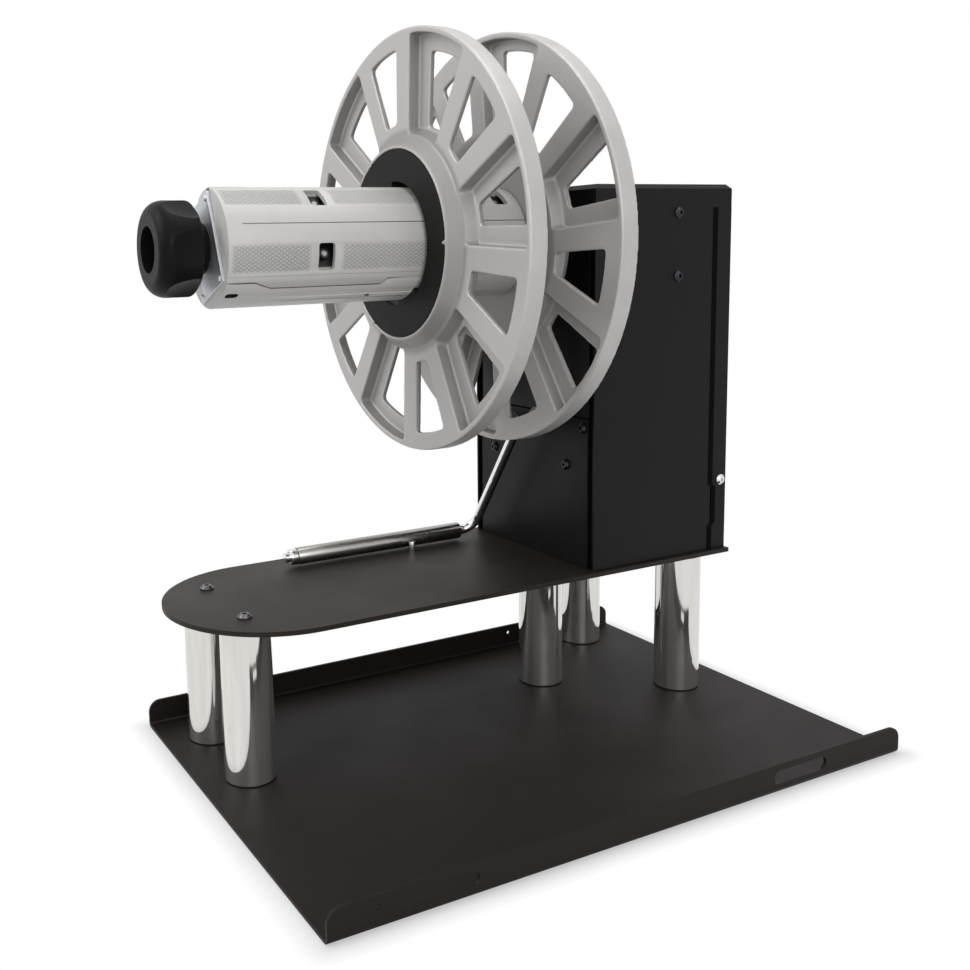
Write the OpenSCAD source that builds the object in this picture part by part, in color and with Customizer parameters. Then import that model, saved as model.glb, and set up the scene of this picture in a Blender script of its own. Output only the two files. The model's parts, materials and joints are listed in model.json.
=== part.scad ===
// Label unwinder: an expanding core holder with two spoked flanges on a motor-driven spindle.
// Frame: origin on the tray's underside, below the hub axis, at the tower's front face.
// +X runs to the tray's wide side, +Y to the tower's back, +Z up. Millimetres.

/* [Tray] */
// Tower's middle plane to the wide side's lip
tray_near = 205; // [160:1:260]
// Gap between the rear pillars and the narrow side's lip
far_lip_gap = 0.8; // [0.8:0.1:20]
// Distance by which the deck's nose passes the tray's front edge
nose_overhang = 6; // [0:1:10]
// Tower's front face to the tray's rear edge
tray_rear = 130; // [120:1:180]
// Sheet thickness of the tray
tray_sheet = 2; // [1.5:0.1:3]
// Height of the two lips
lip_h = 18; // [17:1:30]
// Corner radius at both ends of a lip
lip_corner_r = 8; // [2:1:12]
// Length of the slots in the wide side's lip
lip_slot_l = 43; // [20:1:60]
// Height of the slots in the wide side's lip
lip_slot_h = 8; // [5:0.5:9]

/* [Deck and pillars] */
// Distance by which the deck passes the tower on each side
deck_margin = 3; // [1:0.5:11]
// Thickness of the deck
deck_t = 3; // [2:0.5:6]
// Tower's front face to the deck's rear edge
deck_rear = 120; // [119:1:160]
// Tower's front face to the centre of the round nose
deck_nose = 202; // [196:1:240]
// Diameter of the pillars
pillar_d = 31.6; // [20:0.1:36]
// Height of the pillars
pillar_h = 98; // [60:1:140]
// Half distance between the two front pillars
front_pillar_x = 33.2; // [22:0.1:40]
// Centre of the round nose to the front pillars
front_pillar_ahead = 34.2; // [20:0.1:40]
// Tower's side to the axis of a rear pillar
rear_pillar_inset = 14.4; // [13.5:0.1:29]
// Tower's front face to the rear pillars
rear_pillar_y = 88.7; // [85:0.1:98]

/* [Tower] */
// Width of the tower
tower_w = 138; // [134:1:140]
// Depth of the tower
tower_d = 118.3; // [112:0.1:118.3]
// Height of the tower above the deck, with its cap
tower_h = 255.5; // [252:0.5:300]
// Height of the cap
cap_h = 15.5; // [10:0.5:17]
// Bevel along the top edges of the cap
cap_bevel = 3; // [1:0.5:6]
// Sheet thickness of the tower
wall = 1.5; // [1:0.1:2]
// Height of the lower front cover
front_cover_h = 102; // [98:1:110]

/* [Hub] */
// Height of the hub axis above the deck
hub_rise = 220.5; // [216:0.5:222]
// Diameter of the hub at rest, to fit inside a 76 mm core
hub_d = 72.6; // [70:0.1:72.6]
// Tower's front face to the front end of the hub
hub_front = 240; // [236:1:300]
// Tower's front face to the rear end of the hub's jaws
hub_rear = 29.8; // [29.6:0.1:30.4]
// Direction in which the first jaw moves, from +X towards +Z
jaw_angle = 22; // [0:1:45]
// Wall of the jaws and covers
jaw_wall = 3; // [2:0.1:3]
// Travel of the draw bar from released to clamped
draw_travel = 6; // [3:0.5:6]
// Outward rise of the wedges per unit of draw travel
wedge_slope = 0.4; // [0.2:0.05:0.4]
// Diameter of the knob
knob_d = 57; // [44:1:60]
// Length of the knob's grip
knob_l = 26.5; // [24:0.5:40]

/* [Flanges] */
// Diameter of the flanges
flange_d = 272; // [250:1:276]
// Thickness of the flanges
flange_t = 12.2; // [11:0.1:13]
// Free width between the flanges at rest
label_gap = 52.3; // [20:0.1:120]
// Web and radial wall thickness
web_t = 3.5; // [2.5:0.1:4]
// Width of the rim
rim_w = 4; // [3:0.5:6]
// Number of windows at each of the two web levels
window_count = 6; // [5:1:7]
// Diameter of the black disc on a flange's boss
disc_d = 121; // [110:1:124]

/* [Dancer arm] */
// Height of the arm's pivot above the deck
arm_pivot_h = 95; // [92:0.5:96]
// Tower's middle plane to the arm's pivot
arm_pivot_x = 9; // [4:0.5:14]
// Pivot to roller, across
arm_out = 59; // [52:0.5:64]
// Diameter of the arm's rod
rod_d = 7; // [5:0.5:7]
// Diameter of the guide roller
roller_d = 12; // [11:0.5:13]
// Length of the guide roller
roller_l = 133; // [100:1:135]

/* [Drive] */
// Diameter of the spindle
spindle_d = 15; // [12:0.5:16]
// Outer diameter of the spindle bearings
bearing_d = 32; // [28:1:34]
// Width of the spindle bearings
bearing_w = 9; // [7:0.5:10]
// Pitch diameter of the spindle's pulley
pulley_d = 48; // [42:1:54]
// Spindle pulley to motor pulley ratio
drive_ratio = 3; // [2.5:0.1:3.5]
// Distance from the spindle to the motor shaft
drive_drop = 75; // [65:1:80]

/* [Hidden] */
$fn = 64;

// Shared clearances and the overrun of all cuts
cut = 1;
run_gap = 0.05;
seat_gap = 0.3;
screw_gap = 0.15;

// Straight pieces per arc in a drawn outline
arc_steps = 24;
corner_steps = 4;

// Sides and levels, with the width of the deck
side_x = tower_w / 2;
inner_x = side_x - wall;
deck_w = tower_w + 2 * deck_margin;
rear_pillar_x = side_x - rear_pillar_inset;
deck_z = tray_sheet + pillar_h;
tray_far = rear_pillar_x + pillar_d / 2 + far_lip_gap + tray_sheet;
tray_front = deck_nose + deck_w / 2 - nose_overhang;
front_pillar_y = deck_nose + front_pillar_ahead;
deck_top = deck_z + deck_t;
tower_top = deck_top + tower_h;
wall_top = tower_top - cap_h;
hub_z = deck_top + hub_rise;

// Pillars and their screws
mid_pillar_x = -1.5;
mid_pillar_y = 9.3;
pillar_edge = 0.8;
pillar_bore_l = 15;
pillar_places = [[-front_pillar_x, -front_pillar_y], [front_pillar_x, -front_pillar_y],
    [mid_pillar_x, mid_pillar_y], [-rear_pillar_x, rear_pillar_y], [rear_pillar_x, rear_pillar_y]];
screw_r = 2.5;
screw_l = 14;
button_r = 4.6;
button_h = 2.6;
sunk_r = 4.4;
sunk_depth = 0.1;
socket_share = 0.36;
dome_share = 0.62;

// Lip details of the tray
bend_r = 3.4;
lip_hole_r = 1.5;
lip_hole_z = 12;
near_hole_inset = 27;
far_hole_inset = 100;
lip_slot_z = 10;
front_slot_inset = 63.5;
rear_slot_inset = 86.5;
near_hole_y = near_hole_inset - tray_front;
far_hole_y = tray_rear - far_hole_inset;
lip_slot_places = [front_slot_inset - tray_front, tray_rear - rear_slot_inset];

// Tower sheet work
panel_inset = 7;
panel_w = tower_w - 2 * panel_inset;
cover_t = 3;
panel_t = 2;
seam = 0.6;
foot_w = 11;
foot_t = 2;
foot_y = 12;
foot_l = 64;
foot_screw_inset = 12;
foot_screw_r = 2;
foot_head_r = 3.6;
foot_head_h = 2.2;
strip_l = 14.3;
strip_screw_y = 9;
side_d = tower_d - strip_l;
strip_gap = 0.3;
tab_z = 42;
tab_h = 16;
tab_l = 12;
rear_screw_y = side_d + strip_screw_y;
rear_screw_z = tab_z + tab_h / 2;
notch_d = 3.7;
notch_z = 18.6;
notch_h = 27.7;
small_r = 2;
small_head_r = 3.7;
small_head_h = 2.2;
small_l = 7;
cover_screw_l = 5.2;
cover_screw_low = 68.6;
cover_screw_drop = 6;
cover_screw_edge = 4.7;
cover_screw_left = 17;
cover_screw_right = 22.5;
cover_screw_high = front_cover_h - cover_screw_drop;
cover_screw_places = [[cover_screw_left - panel_w / 2, cover_screw_low],
    [panel_w / 2 - cover_screw_right, cover_screw_low],
    [panel_w / 2 - cover_screw_edge, cover_screw_high],
    [cover_screw_edge - panel_w / 2, cover_screw_high]];
cap_lip_h = 5;
cap_lip_gap = 0.3;
cap_t = 2;

// Bearing bridge behind the side screws
bridge_t = 3;
bridge_y = 62;
bridge_flange_l = 16;
bridge_foot = 30;
bridge_drop = drive_drop + bridge_foot;
bridge_rise = 18.5;
side_screw_y = 70.6;
side_screw_high = 16.2;
side_screw_low = -26;
bridge_boss_h = 9;
bearing_wall = 4;
lip_bore_gap = 1.5;

// Front bearing housing
front_wall_y = cover_t;
housing_y = front_wall_y + wall;
housing_l = 20;
housing_flange_r = 26;
housing_flange_t = 5;
nose_r = 14;
nose_l = 2;

// Belt drive
pulley_y = 34;
pulley_w = 12;
belt_w = 9;
belt_t = 2;
belt_gap = 0.3;
rim_rise = 1.6;
pulley_rim_t = 1.2;
motor_shaft_r = 3;
motor_pilot_r = 6;
motor_gear_r = 18.5;
motor_can_r = 14;
motor_rear_gap = 7.8;
motor_gear_share = 0.545;
motor_bore_share = 0.5;
motor_l = tower_d - wall - bridge_y - bridge_t - motor_rear_gap;
motor_gear_l = motor_l * motor_gear_share;
motor_can_l = motor_l - motor_gear_l;
motor_bore_l = motor_gear_l * motor_bore_share;

// Control board on the narrow side's wall
board_t = 1.6;
board_y = 18;
board_l = 40;
board_z = 20;
board_h = 80;
post_l = 5;
post_r = 2.5;
post_inset = 4;
chip_l = 12;
chip_h = 14;
chip_t = 3;
plug_l = 8;
plug_h = 24;
plug_t = 9;

// Inlet and switch in the rear cover
switch_inset = 21;
inlet_pitch = 23;
switch_x = side_x - switch_inset;
inlet_x = switch_x - inlet_pitch;
inlet_z = 25;
inlet_r = 5.8;
inlet_flange_r = 8;
inlet_flange_t = 2;
inlet_l = 14;
inlet_bore_r = 2.9;
inlet_bore_l = 10;
inlet_pin_r = 1;
switch_w = 13;
switch_h = 21;
switch_flange = 1.5;
switch_l = 14;
switch_wall = 1.3;
rocker_gap = 0.3;
rocker_tilt = 8;
rocker_half = 7.8;
rocker_front = 3;
rocker_dip = 1.8;
rocker_back = 3;
rocker_back_share = 0.6;
rocker_pin_r = 1;
rocker_pin_l = 1.2;

// Hub
hub_r = hub_d / 2;
core_u = 19.5;
core_v = 28.5;
core_t = 2;
rear_plate_t = 4;
front_plate_t = 3.5;
dish = 6.8;
jaw_rear_gap = 0.6;
flange_face = hub_rear - jaw_rear_gap + dish;
core_rear = flange_face - dish;
frame_rear = core_rear + rear_plate_t;
frame_front = hub_front - front_plate_t;
jaw_u = core_u + seat_gap;
jaw_base_t = 3;
jaw_front_inset = 2;
upper_cover_inset = 5;
jaw_len = hub_front - jaw_front_inset - hub_rear;
jaw_end_t = 3;
window_angle = 32.5;
window_l = 10.8;
window_w = 16.3;
window_corner_r = 1.8;
rear_window_inset = 13.7;
front_window_inset = 64.5;
window_ys = [hub_rear + rear_window_inset, hub_front - front_window_inset];
guide_v = 16;
guide_r = 2;
guide_head_r = 3;
guide_head_h = 2.1;
guide_gap = 0.3;
guide_head_u = jaw_u + jaw_base_t + wedge_slope * draw_travel + guide_gap;
tongue_rear_inset = 105;
tongue_front_inset = 31;
tongue_ys = [hub_front - tongue_rear_inset, hub_front - tongue_front_inset];
tongue_u = 15.9;
tongue_rear_slope_l = 4;
tongue_front_slope_l = 11;
rivet_r = 2;
rivet_h = 1;
rivet_inset = 3.4;
cover_hole_inset = 7.5;
cover_hole_y = hub_front - cover_hole_inset;
cover_hole_u = 10.4;
cover_hole_r = 2.2;
cover_hole_l = 4;
cover_screw_inset = 100;
cover_screw_y = hub_front - cover_screw_inset;
cover_screw_u = 5;
cover_screw_r = 1.6;

// Wedge drive inside the hub
bar_u = 5;
bar_v = 8;
bar_rear_inset = 20.2;
bar_front_inset = 28;
bar_rear = hub_rear + bar_rear_inset;
bar_front = hub_front - bar_front_inset;
wedge_l = 17.5;
wedge_high = 14;
rear_wedge_inset = 10;
front_wedge_inset = 30;
wedge_ys = [bar_rear + rear_wedge_inset, bar_front - front_wedge_inset];
lug_inset = 2;
lug_l = 12;
draw_r = 5;
draw_neck_r = 4;
draw_grip = 14;
nut_r = 7.5;
nut_flange_r = 10;
nut_flange_t = 3.2;
knob_neck_r = 10.8;
knob_neck_l = 8.5;
knob_front_r = 20.5;
knob_shoulder_l = 10;
knob_rear_edge = 4;
knob_recess_r = 13.8;
knob_recess_l = 17;
knob_scallops = 6;
scallop_r = 58;
scallop_d = 3.2;
scallop_y = 3;

// Flanges
flange_r = flange_d / 2;
near_face = flange_face + label_gap;
nub_count = 3;
nub_l = 2.6;
nub_w = 1.6;
nub_h = 0.9;
nub_inset = 0.3;
near_phase = 12.2;
far_phase = -11;
dish_r = 64;
dish_slope = 1.5;
boss_r = 70;
cone_r = 69;
disc_rim = 1.8;
cone_top_r = disc_d / 2 + disc_rim;
boss_rise = 8.3;
boss_h = flange_t + boss_rise;
disc_t = 2;
disc_seat = 3;
disc_gap = 0.3;
core_bore_r = 40;
core_rib_t = 3.5;
pocket_r = boss_r;
window_in_share = 0.573;
window_out_share = 0.915;
window_low_in_share = 0.551;
window_low_out_share = 0.89;
window_in_angle = 5;
window_out_angle = 8.2;
pad_half_angle = 18;
spindle_flange_r = 20;
spindle_flange_t = 4;
flange_screw_pcd = 15;
flange_screw_r = 2;
flange_screw_head_r = 3.5;
flange_screw_head_h = 2.5;
flange_screw_count = 4;
rear_disc_hole_r = 22;

// Dancer arm
arm_y = 17;
roller_gap = 1;
arm_pivot_z = deck_top + arm_pivot_h;
arm_drop = arm_pivot_h - roller_gap - roller_d / 2;
arm_len = sqrt(arm_out * arm_out + arm_drop * arm_drop);
arm_angle = atan2(arm_drop, -arm_out);
arm_bend_r = 12;
rod_r = rod_d / 2;
collar_r = 8;
collar_l = 9;
shaft_r = 4;
shaft_in = 20;
bush_r = 7;
bush_flange_r = 10;
bush_flange_t = 2;
bush_l = 8;
sensor_w = 28;
sensor_l = 14;
roller_rear = 31;
roller_wall = 1;
roller_bush_l = 8;
rod_end_l = 9;
rod_front = roller_rear + roller_l + rod_end_l;
clip_l = 5;
clip_r = 5.6;
clip_gap = 0.4;
pin_r = 2.5;
pin_h = 7;
pin_y = 76;
pin_gap = 0.5;

// Frame whose z runs from the tower's front face towards the knob, about the hub axis
module at_hub() { translate([0, 0, hub_z]) rotate([90, 0, 0]) children(); }

module at_jaws() { at_hub() rotate([0, 0, jaw_angle]) children(); }

module tube(r_out, r_in, h) {
    difference() {
        cylinder(h = h, r = r_out);
        translate([0, 0, -cut]) cylinder(h = h + 2 * cut, r = r_in);
    }
}

// Points along an arc with half axes rx and ry about x and y, from angle a0 to a1
function arc_points(rx, ry, a0, a1, x, y, steps = arc_steps) = [for (i = [0:steps])
    let (a = a0 + (a1 - a0) * i / steps) [x + rx * cos(a), y + ry * sin(a)]];

// Button-head screw standing on z = 0, its shank below
module button(head_r, head_h, shank_r, shank_l) {
    difference() {
        union() {
            rotate_extrude() polygon([[0, 0], [head_r, 0], [head_r, head_h * socket_share],
                [head_r * dome_share, head_h], [0, head_h]]);
            translate([0, 0, -shank_l]) cylinder(h = shank_l + head_h * socket_share, r = shank_r);
        }
        translate([0, 0, head_h * socket_share])
            cylinder(h = head_h, r = head_r * socket_share, $fn = 6);
    }
}

// Section of the tray across its width, closed below with two rounded bends
module bend_slab(x0, x1, h, r) {
    translate([x0, r]) square([x1 - x0, h - r]);
    translate([x0 + r, 0]) square([x1 - x0 - 2 * r, r]);
    translate([x0 + r, r]) circle(r = r);
    translate([x1 - r, r]) circle(r = r);
}

// Level slot with round ends, cut along x
module lip_slot(y) {
    half = (lip_slot_l - lip_slot_h) / 2;
    translate([tray_near - tray_sheet - cut, y, lip_slot_z]) rotate([90, 0, 90])
        linear_extrude(tray_sheet + 2 * cut) {
            translate([-half, -lip_slot_h / 2]) square([2 * half, lip_slot_h]);
            translate([-half, 0]) circle(d = lip_slot_h);
            translate([half, 0]) circle(d = lip_slot_h);
        }
}

module base_tray() {
    len = tray_front + tray_rear;
    color([0.13, 0.13, 0.14]) difference() {
        intersection() {
            translate([0, tray_rear, 0]) rotate([90, 0, 0]) linear_extrude(len) difference() {
                bend_slab(-tray_far, tray_near, lip_h, bend_r);
                translate([0, tray_sheet]) bend_slab(-tray_far + tray_sheet,
                    tray_near - tray_sheet, lip_h, bend_r - tray_sheet);
            }
            translate([-tray_far - cut, -tray_front, 0]) rotate([90, 0, 90])
                linear_extrude(tray_far + tray_near + 2 * cut) {
                    square([len, lip_h - lip_corner_r]);
                    translate([lip_corner_r, 0]) square([len - 2 * lip_corner_r, lip_h]);
                    for (y = [lip_corner_r, len - lip_corner_r])
                        translate([y, lip_h - lip_corner_r]) circle(r = lip_corner_r);
                }
        }
        for (y = lip_slot_places) lip_slot(y);
        translate([tray_near - tray_sheet - cut, near_hole_y, lip_hole_z]) rotate([0, 90, 0])
            cylinder(h = tray_sheet + 2 * cut, r = lip_hole_r);
        translate([-tray_far - cut, far_hole_y, lip_hole_z]) rotate([0, 90, 0])
            cylinder(h = tray_sheet + 2 * cut, r = lip_hole_r);
        for (p = pillar_places) translate([p[0], p[1], 0]) {
            translate([0, 0, -cut]) cylinder(h = tray_sheet + 2 * cut, r = screw_r + screw_gap);
            sunk_head(screw_gap);
            translate([0, 0, -cut]) cylinder(h = cut + sunk_depth, r = sunk_r + screw_gap);
        }
    }
}

// Countersunk head in the tray's sheet, widened by a gap for its seat
module sunk_head(gap) {
    translate([0, 0, sunk_depth]) cylinder(h = sunk_r - screw_r, r1 = sunk_r + gap, r2 = screw_r + gap);
}

module tray_screws() {
    color([0.2, 0.2, 0.21]) for (p = pillar_places) translate([p[0], p[1], 0]) difference() {
        union() {
            sunk_head(0);
            translate([0, 0, sunk_depth]) cylinder(h = screw_l, r = screw_r);
        }
        cylinder(h = tray_sheet / 2, r = screw_r * dome_share, $fn = 6);
    }
}

module pillar(p) {
    r = pillar_d / 2;
    color([0.8, 0.82, 0.84]) translate([p[0], p[1], tray_sheet]) difference() {
        rotate_extrude() polygon([[0, 0], [r - pillar_edge, 0], [r, pillar_edge],
            [r, pillar_h - pillar_edge], [r - pillar_edge, pillar_h], [0, pillar_h]]);
        translate([0, 0, -cut]) cylinder(h = pillar_bore_l + cut, r = screw_r + screw_gap);
        translate([0, 0, pillar_h - pillar_bore_l])
            cylinder(h = pillar_bore_l + cut, r = screw_r + screw_gap);
    }
}

module pillar_front_left() { pillar(pillar_places[0]); }

module pillar_front_right() { pillar(pillar_places[1]); }

module pillar_middle() { pillar(pillar_places[2]); }

module pillar_rear_left() { pillar(pillar_places[3]); }

module pillar_rear_right() { pillar(pillar_places[4]); }

// Places of the tower's four foot screws
function foot_places() = [for (x = [-1, 1], y = [foot_y + foot_screw_inset,
    foot_y + foot_l - foot_screw_inset]) [x * (inner_x - foot_w / 2), y]];

function pin_place() = [arm_pivot_x - arm_out + roller_d / 2 + pin_gap + pin_r, -pin_y];

module deck_plate() {
    w = deck_w / 2;
    color([0.12, 0.12, 0.13]) difference() {
        translate([0, 0, deck_z]) linear_extrude(deck_t) {
            translate([-w, -deck_nose]) square([deck_w, deck_nose + deck_rear]);
            translate([0, -deck_nose]) circle(r = w, $fn = 128);
        }
        for (p = pillar_places) translate([p[0], p[1], deck_z - cut])
            cylinder(h = deck_t + 2 * cut, r = screw_r + screw_gap);
        for (p = foot_places()) translate([p[0], p[1], deck_z - cut])
            cylinder(h = deck_t + 2 * cut, r = foot_screw_r + screw_gap);
        translate([pin_place()[0], pin_place()[1], deck_z - cut])
            cylinder(h = deck_t + 2 * cut, r = pin_r / 2 + screw_gap);
    }
}

module deck_screws() {
    color([0.1, 0.1, 0.1]) for (p = pillar_places) translate([p[0], p[1], deck_top])
        button(button_r, button_h, screw_r, screw_l);
}

// Screw shanks and bores through both side walls, along x at a place in y and z
module side_bores(y, z, r) {
    translate([-side_x - cut, y, z]) rotate([0, 90, 0]) cylinder(h = tower_w + 2 * cut, r = r);
}

module housing() {
    h = wall_top - deck_top;
    color([0.14, 0.14, 0.15]) difference() {
        union() {
            for (m = [0, 1]) mirror([m, 0, 0]) {
                translate([inner_x, 0, deck_top]) cube([wall, side_d, h]);
                translate([inner_x - foot_w, foot_y, deck_top]) cube([foot_w, foot_l, foot_t]);
                translate([inner_x - wall, side_d - tab_l, deck_top + tab_z])
                    cube([wall, 2 * tab_l, tab_h]);
            }
            translate([-inner_x, front_wall_y, deck_top]) cube([2 * inner_x, wall, h]);
        }
        for (z = [side_screw_high, side_screw_low])
            side_bores(side_screw_y, hub_z + z, small_r + screw_gap);
        side_bores(rear_screw_y, deck_top + rear_screw_z, small_r + screw_gap);
        for (p = foot_places()) translate([p[0], p[1], deck_top - cut])
            cylinder(h = foot_t + 2 * cut, r = foot_screw_r + screw_gap);
        for (p = cover_screw_places) front_bore(p[0], deck_top + p[1], small_r + screw_gap);
        front_bore(0, hub_z, nose_r + screw_gap);
        front_bore(arm_pivot_x, arm_pivot_z, bush_r + screw_gap);
    }
}

// Bore along y through the front wall and its panels
module front_bore(x, z, r) {
    translate([x, -cut, z]) rotate([-90, 0, 0]) cylinder(h = front_wall_y + wall + 2 * cut, r = r);
}

module foot_screws() {
    color([0.1, 0.1, 0.1]) for (p = foot_places()) translate([p[0], p[1], deck_top + foot_t])
        button(foot_head_r, foot_head_h, foot_screw_r, foot_t + deck_t);
}

module front_panel() {
    z0 = deck_top + front_cover_h + seam;
    color([0.1, 0.1, 0.11]) difference() {
        translate([-panel_w / 2, cover_t - panel_t, z0]) cube([panel_w, panel_t, wall_top - z0]);
        front_bore(0, hub_z, nose_r + screw_gap);
    }
}

module front_cover() {
    color([0.17, 0.17, 0.18]) difference() {
        translate([-panel_w / 2, 0, deck_top]) cube([panel_w, cover_t, front_cover_h]);
        for (p = cover_screw_places) front_bore(p[0], deck_top + p[1], small_r + screw_gap);
        front_bore(arm_pivot_x, arm_pivot_z, bush_r + screw_gap);
    }
}

module front_cover_screws() {
    color([0.1, 0.1, 0.1]) for (p = cover_screw_places) translate([p[0], 0, deck_top + p[1]])
        rotate([90, 0, 0]) button(small_head_r, small_head_h, small_r, cover_screw_l);
}

// Closed block with bevelled top edges, from z = 0 up
module cap_block(w, d, h, bevel) {
    intersection() {
        rotate([90, 0, 0]) translate([0, 0, -d]) linear_extrude(d) polygon([[-w / 2, 0], [w / 2, 0],
            [w / 2, h - bevel], [w / 2 - bevel, h], [bevel - w / 2, h], [-w / 2, h - bevel]]);
        translate([-w / 2, 0, 0]) rotate([90, 0, 90]) linear_extrude(w) polygon([[0, 0], [d, 0],
            [d, h - bevel], [d - bevel, h], [bevel, h], [0, h - bevel]]);
    }
}

module top_cap() {
    gap = wall + cap_lip_gap;
    y0 = housing_y + cap_lip_gap;
    y1 = tower_d - gap;
    color([0.13, 0.13, 0.14]) translate([0, 0, wall_top]) {
        difference() {
            cap_block(tower_w, tower_d, cap_h, cap_bevel);
            translate([0, cap_t, -cut])
                cap_block(tower_w - 2 * cap_t, tower_d - 2 * cap_t, cap_h - cap_t + cut, cap_bevel);
        }
        difference() {
            translate([gap - side_x, y0, -cap_lip_h])
                cube([tower_w - 2 * gap, y1 - y0, 2 * cap_lip_h]);
            translate([gap + wall - side_x, y0 + wall, -cap_lip_h - cut])
                cube([tower_w - 2 * gap - 2 * wall, y1 - y0 - 2 * wall, 2 * cap_lip_h + 2 * cut]);
            translate([-housing_flange_r - seam, y0 - cut, -cap_lip_h - cut])
                cube([2 * (housing_flange_r + seam), wall + 2 * cut, 2 * cap_lip_h + 2 * cut]);
            for (m = [0, 1]) mirror([m, 0, 0])
                translate([inner_x - bridge_t - small_l, bridge_y - seam, -cap_lip_h - cut])
                    cube([bridge_t + small_l, bridge_flange_l + bridge_t + 2 * seam, cut + cap_lip_h]);
        }
        for (m = [0, 1]) mirror([m, 0, 0]) translate([side_x - gap - wall, y0, 0])
            cube([gap + wall - cap_t + wall / 2, y1 - y0, cap_t]);
    }
}

module rear_cover() {
    h = wall_top - deck_top;
    y0 = side_d + strip_gap;
    color([0.14, 0.14, 0.15]) difference() {
        translate([-side_x, y0, deck_top]) cube([tower_w, tower_d - y0, h]);
        translate([-inner_x, y0 - cut, deck_top - cut])
            cube([2 * inner_x, tower_d - wall - y0 + cut, h + 2 * cut]);
        translate([-side_x - cut, y0 - cut, deck_top + notch_z])
            cube([tower_w + 2 * cut, notch_d + cut, notch_h]);
        side_bores(rear_screw_y, deck_top + rear_screw_z, small_r + screw_gap);
        translate([inlet_x, tower_d - wall - cut, deck_top + inlet_z]) rotate([-90, 0, 0])
            cylinder(h = wall + 2 * cut, r = inlet_r + screw_gap);
        translate([switch_x - switch_w / 2 - screw_gap, tower_d - wall - cut,
            deck_top + inlet_z - switch_h / 2 - screw_gap])
            cube([switch_w + 2 * screw_gap, wall + 2 * cut, switch_h + 2 * screw_gap]);
    }
}

module rear_cover_screws() {
    color([0.75, 0.76, 0.77]) for (m = [0, 1]) mirror([m, 0, 0])
        translate([side_x, rear_screw_y, deck_top + rear_screw_z]) rotate([0, 90, 0])
            button(small_head_r, small_head_h, small_r, 2 * wall);
}

module side_screws() {
    color([0.08, 0.08, 0.08]) for (m = [0, 1], z = [side_screw_high, side_screw_low])
        mirror([m, 0, 0]) translate([side_x, side_screw_y, hub_z + z]) rotate([0, 90, 0])
            button(small_head_r, small_head_h, small_r, wall + bridge_t);
}

module bearing_bridge() {
    r = bearing_d / 2;
    z0 = hub_z - bridge_drop;
    h = bridge_drop + bridge_rise;
    color([0.55, 0.56, 0.58]) difference() {
        union() {
            translate([-inner_x, bridge_y, z0]) cube([2 * inner_x, bridge_t, h]);
            for (m = [0, 1]) mirror([m, 0, 0]) translate([inner_x - bridge_t, bridge_y, z0])
                cube([bridge_t, bridge_flange_l, h]);
            translate([0, bridge_y - bridge_boss_h, hub_z]) rotate([-90, 0, 0])
                cylinder(h = bridge_boss_h + bridge_t, r = r + bearing_wall);
        }
        translate([0, bridge_y + bridge_t - bearing_w, hub_z]) rotate([-90, 0, 0])
            cylinder(h = bearing_w + cut, r = r + run_gap);
        translate([0, bridge_y - bridge_boss_h - cut, hub_z]) rotate([-90, 0, 0])
            cylinder(h = bridge_boss_h + bridge_t + 2 * cut, r = spindle_d / 2 + lip_bore_gap);
        translate([0, bridge_y - cut, hub_z - drive_drop]) rotate([-90, 0, 0])
            cylinder(h = bridge_t + 2 * cut, r = motor_pilot_r + screw_gap);
        for (z = [side_screw_high, side_screw_low])
            side_bores(side_screw_y, hub_z + z, small_r + screw_gap);
    }
}

module bearing_housing() {
    r = bearing_d / 2;
    color([0.6, 0.61, 0.63]) at_hub() translate([0, 0, -housing_y - housing_l]) difference() {
        union() {
            cylinder(h = housing_l, r = r + bearing_wall);
            translate([0, 0, housing_l - housing_flange_t])
                cylinder(h = housing_flange_t, r = housing_flange_r);
            cylinder(h = housing_l + housing_y + nose_l, r = nose_r);
        }
        translate([0, 0, -cut]) cylinder(h = bearing_w + cut, r = r + run_gap);
        translate([0, 0, -cut]) cylinder(h = housing_l + housing_y + nose_l + 2 * cut,
            r = spindle_d / 2 + lip_bore_gap);
    }
}

module bearing() {
    tube(bearing_d / 2, spindle_d / 2 + run_gap, bearing_w);
}

module front_bearing() {
    color([0.7, 0.71, 0.72]) at_hub() translate([0, 0, -housing_y - housing_l]) bearing();
}

module rear_bearing() {
    color([0.7, 0.71, 0.72]) at_hub() translate([0, 0, -bridge_y - bridge_t]) bearing();
}

// Flat outline round two pulleys, the smaller one straight below the larger
module belt_outline(r1, r2, d) {
    a = asin((r1 - r2) / d);
    polygon(concat(arc_points(r1, r1, -a, 180 + a, 0, 0), arc_points(r2, r2, 180 + a, 360 - a, 0, -d)));
}

module drive_belt() {
    r1 = pulley_d / 2 + belt_gap;
    r2 = pulley_d / drive_ratio / 2 + belt_gap;
    color([0.08, 0.08, 0.08]) at_hub() translate([0, 0, -pulley_y - pulley_w / 2 - belt_w / 2])
        linear_extrude(belt_w) difference() {
            belt_outline(r1 + belt_t, r2 + belt_t, drive_drop);
            belt_outline(r1, r2, drive_drop);
        }
}

// Flanged pulley with its bore, from z = 0 to its width
module pulley(r, bore_r) {
    difference() {
        union() {
            cylinder(h = pulley_w, r = r);
            for (z = [0, pulley_w - pulley_rim_t])
                translate([0, 0, z]) cylinder(h = pulley_rim_t, r = r + belt_t + rim_rise);
        }
        translate([0, 0, -cut]) cylinder(h = pulley_w + 2 * cut, r = bore_r);
    }
}

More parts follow.
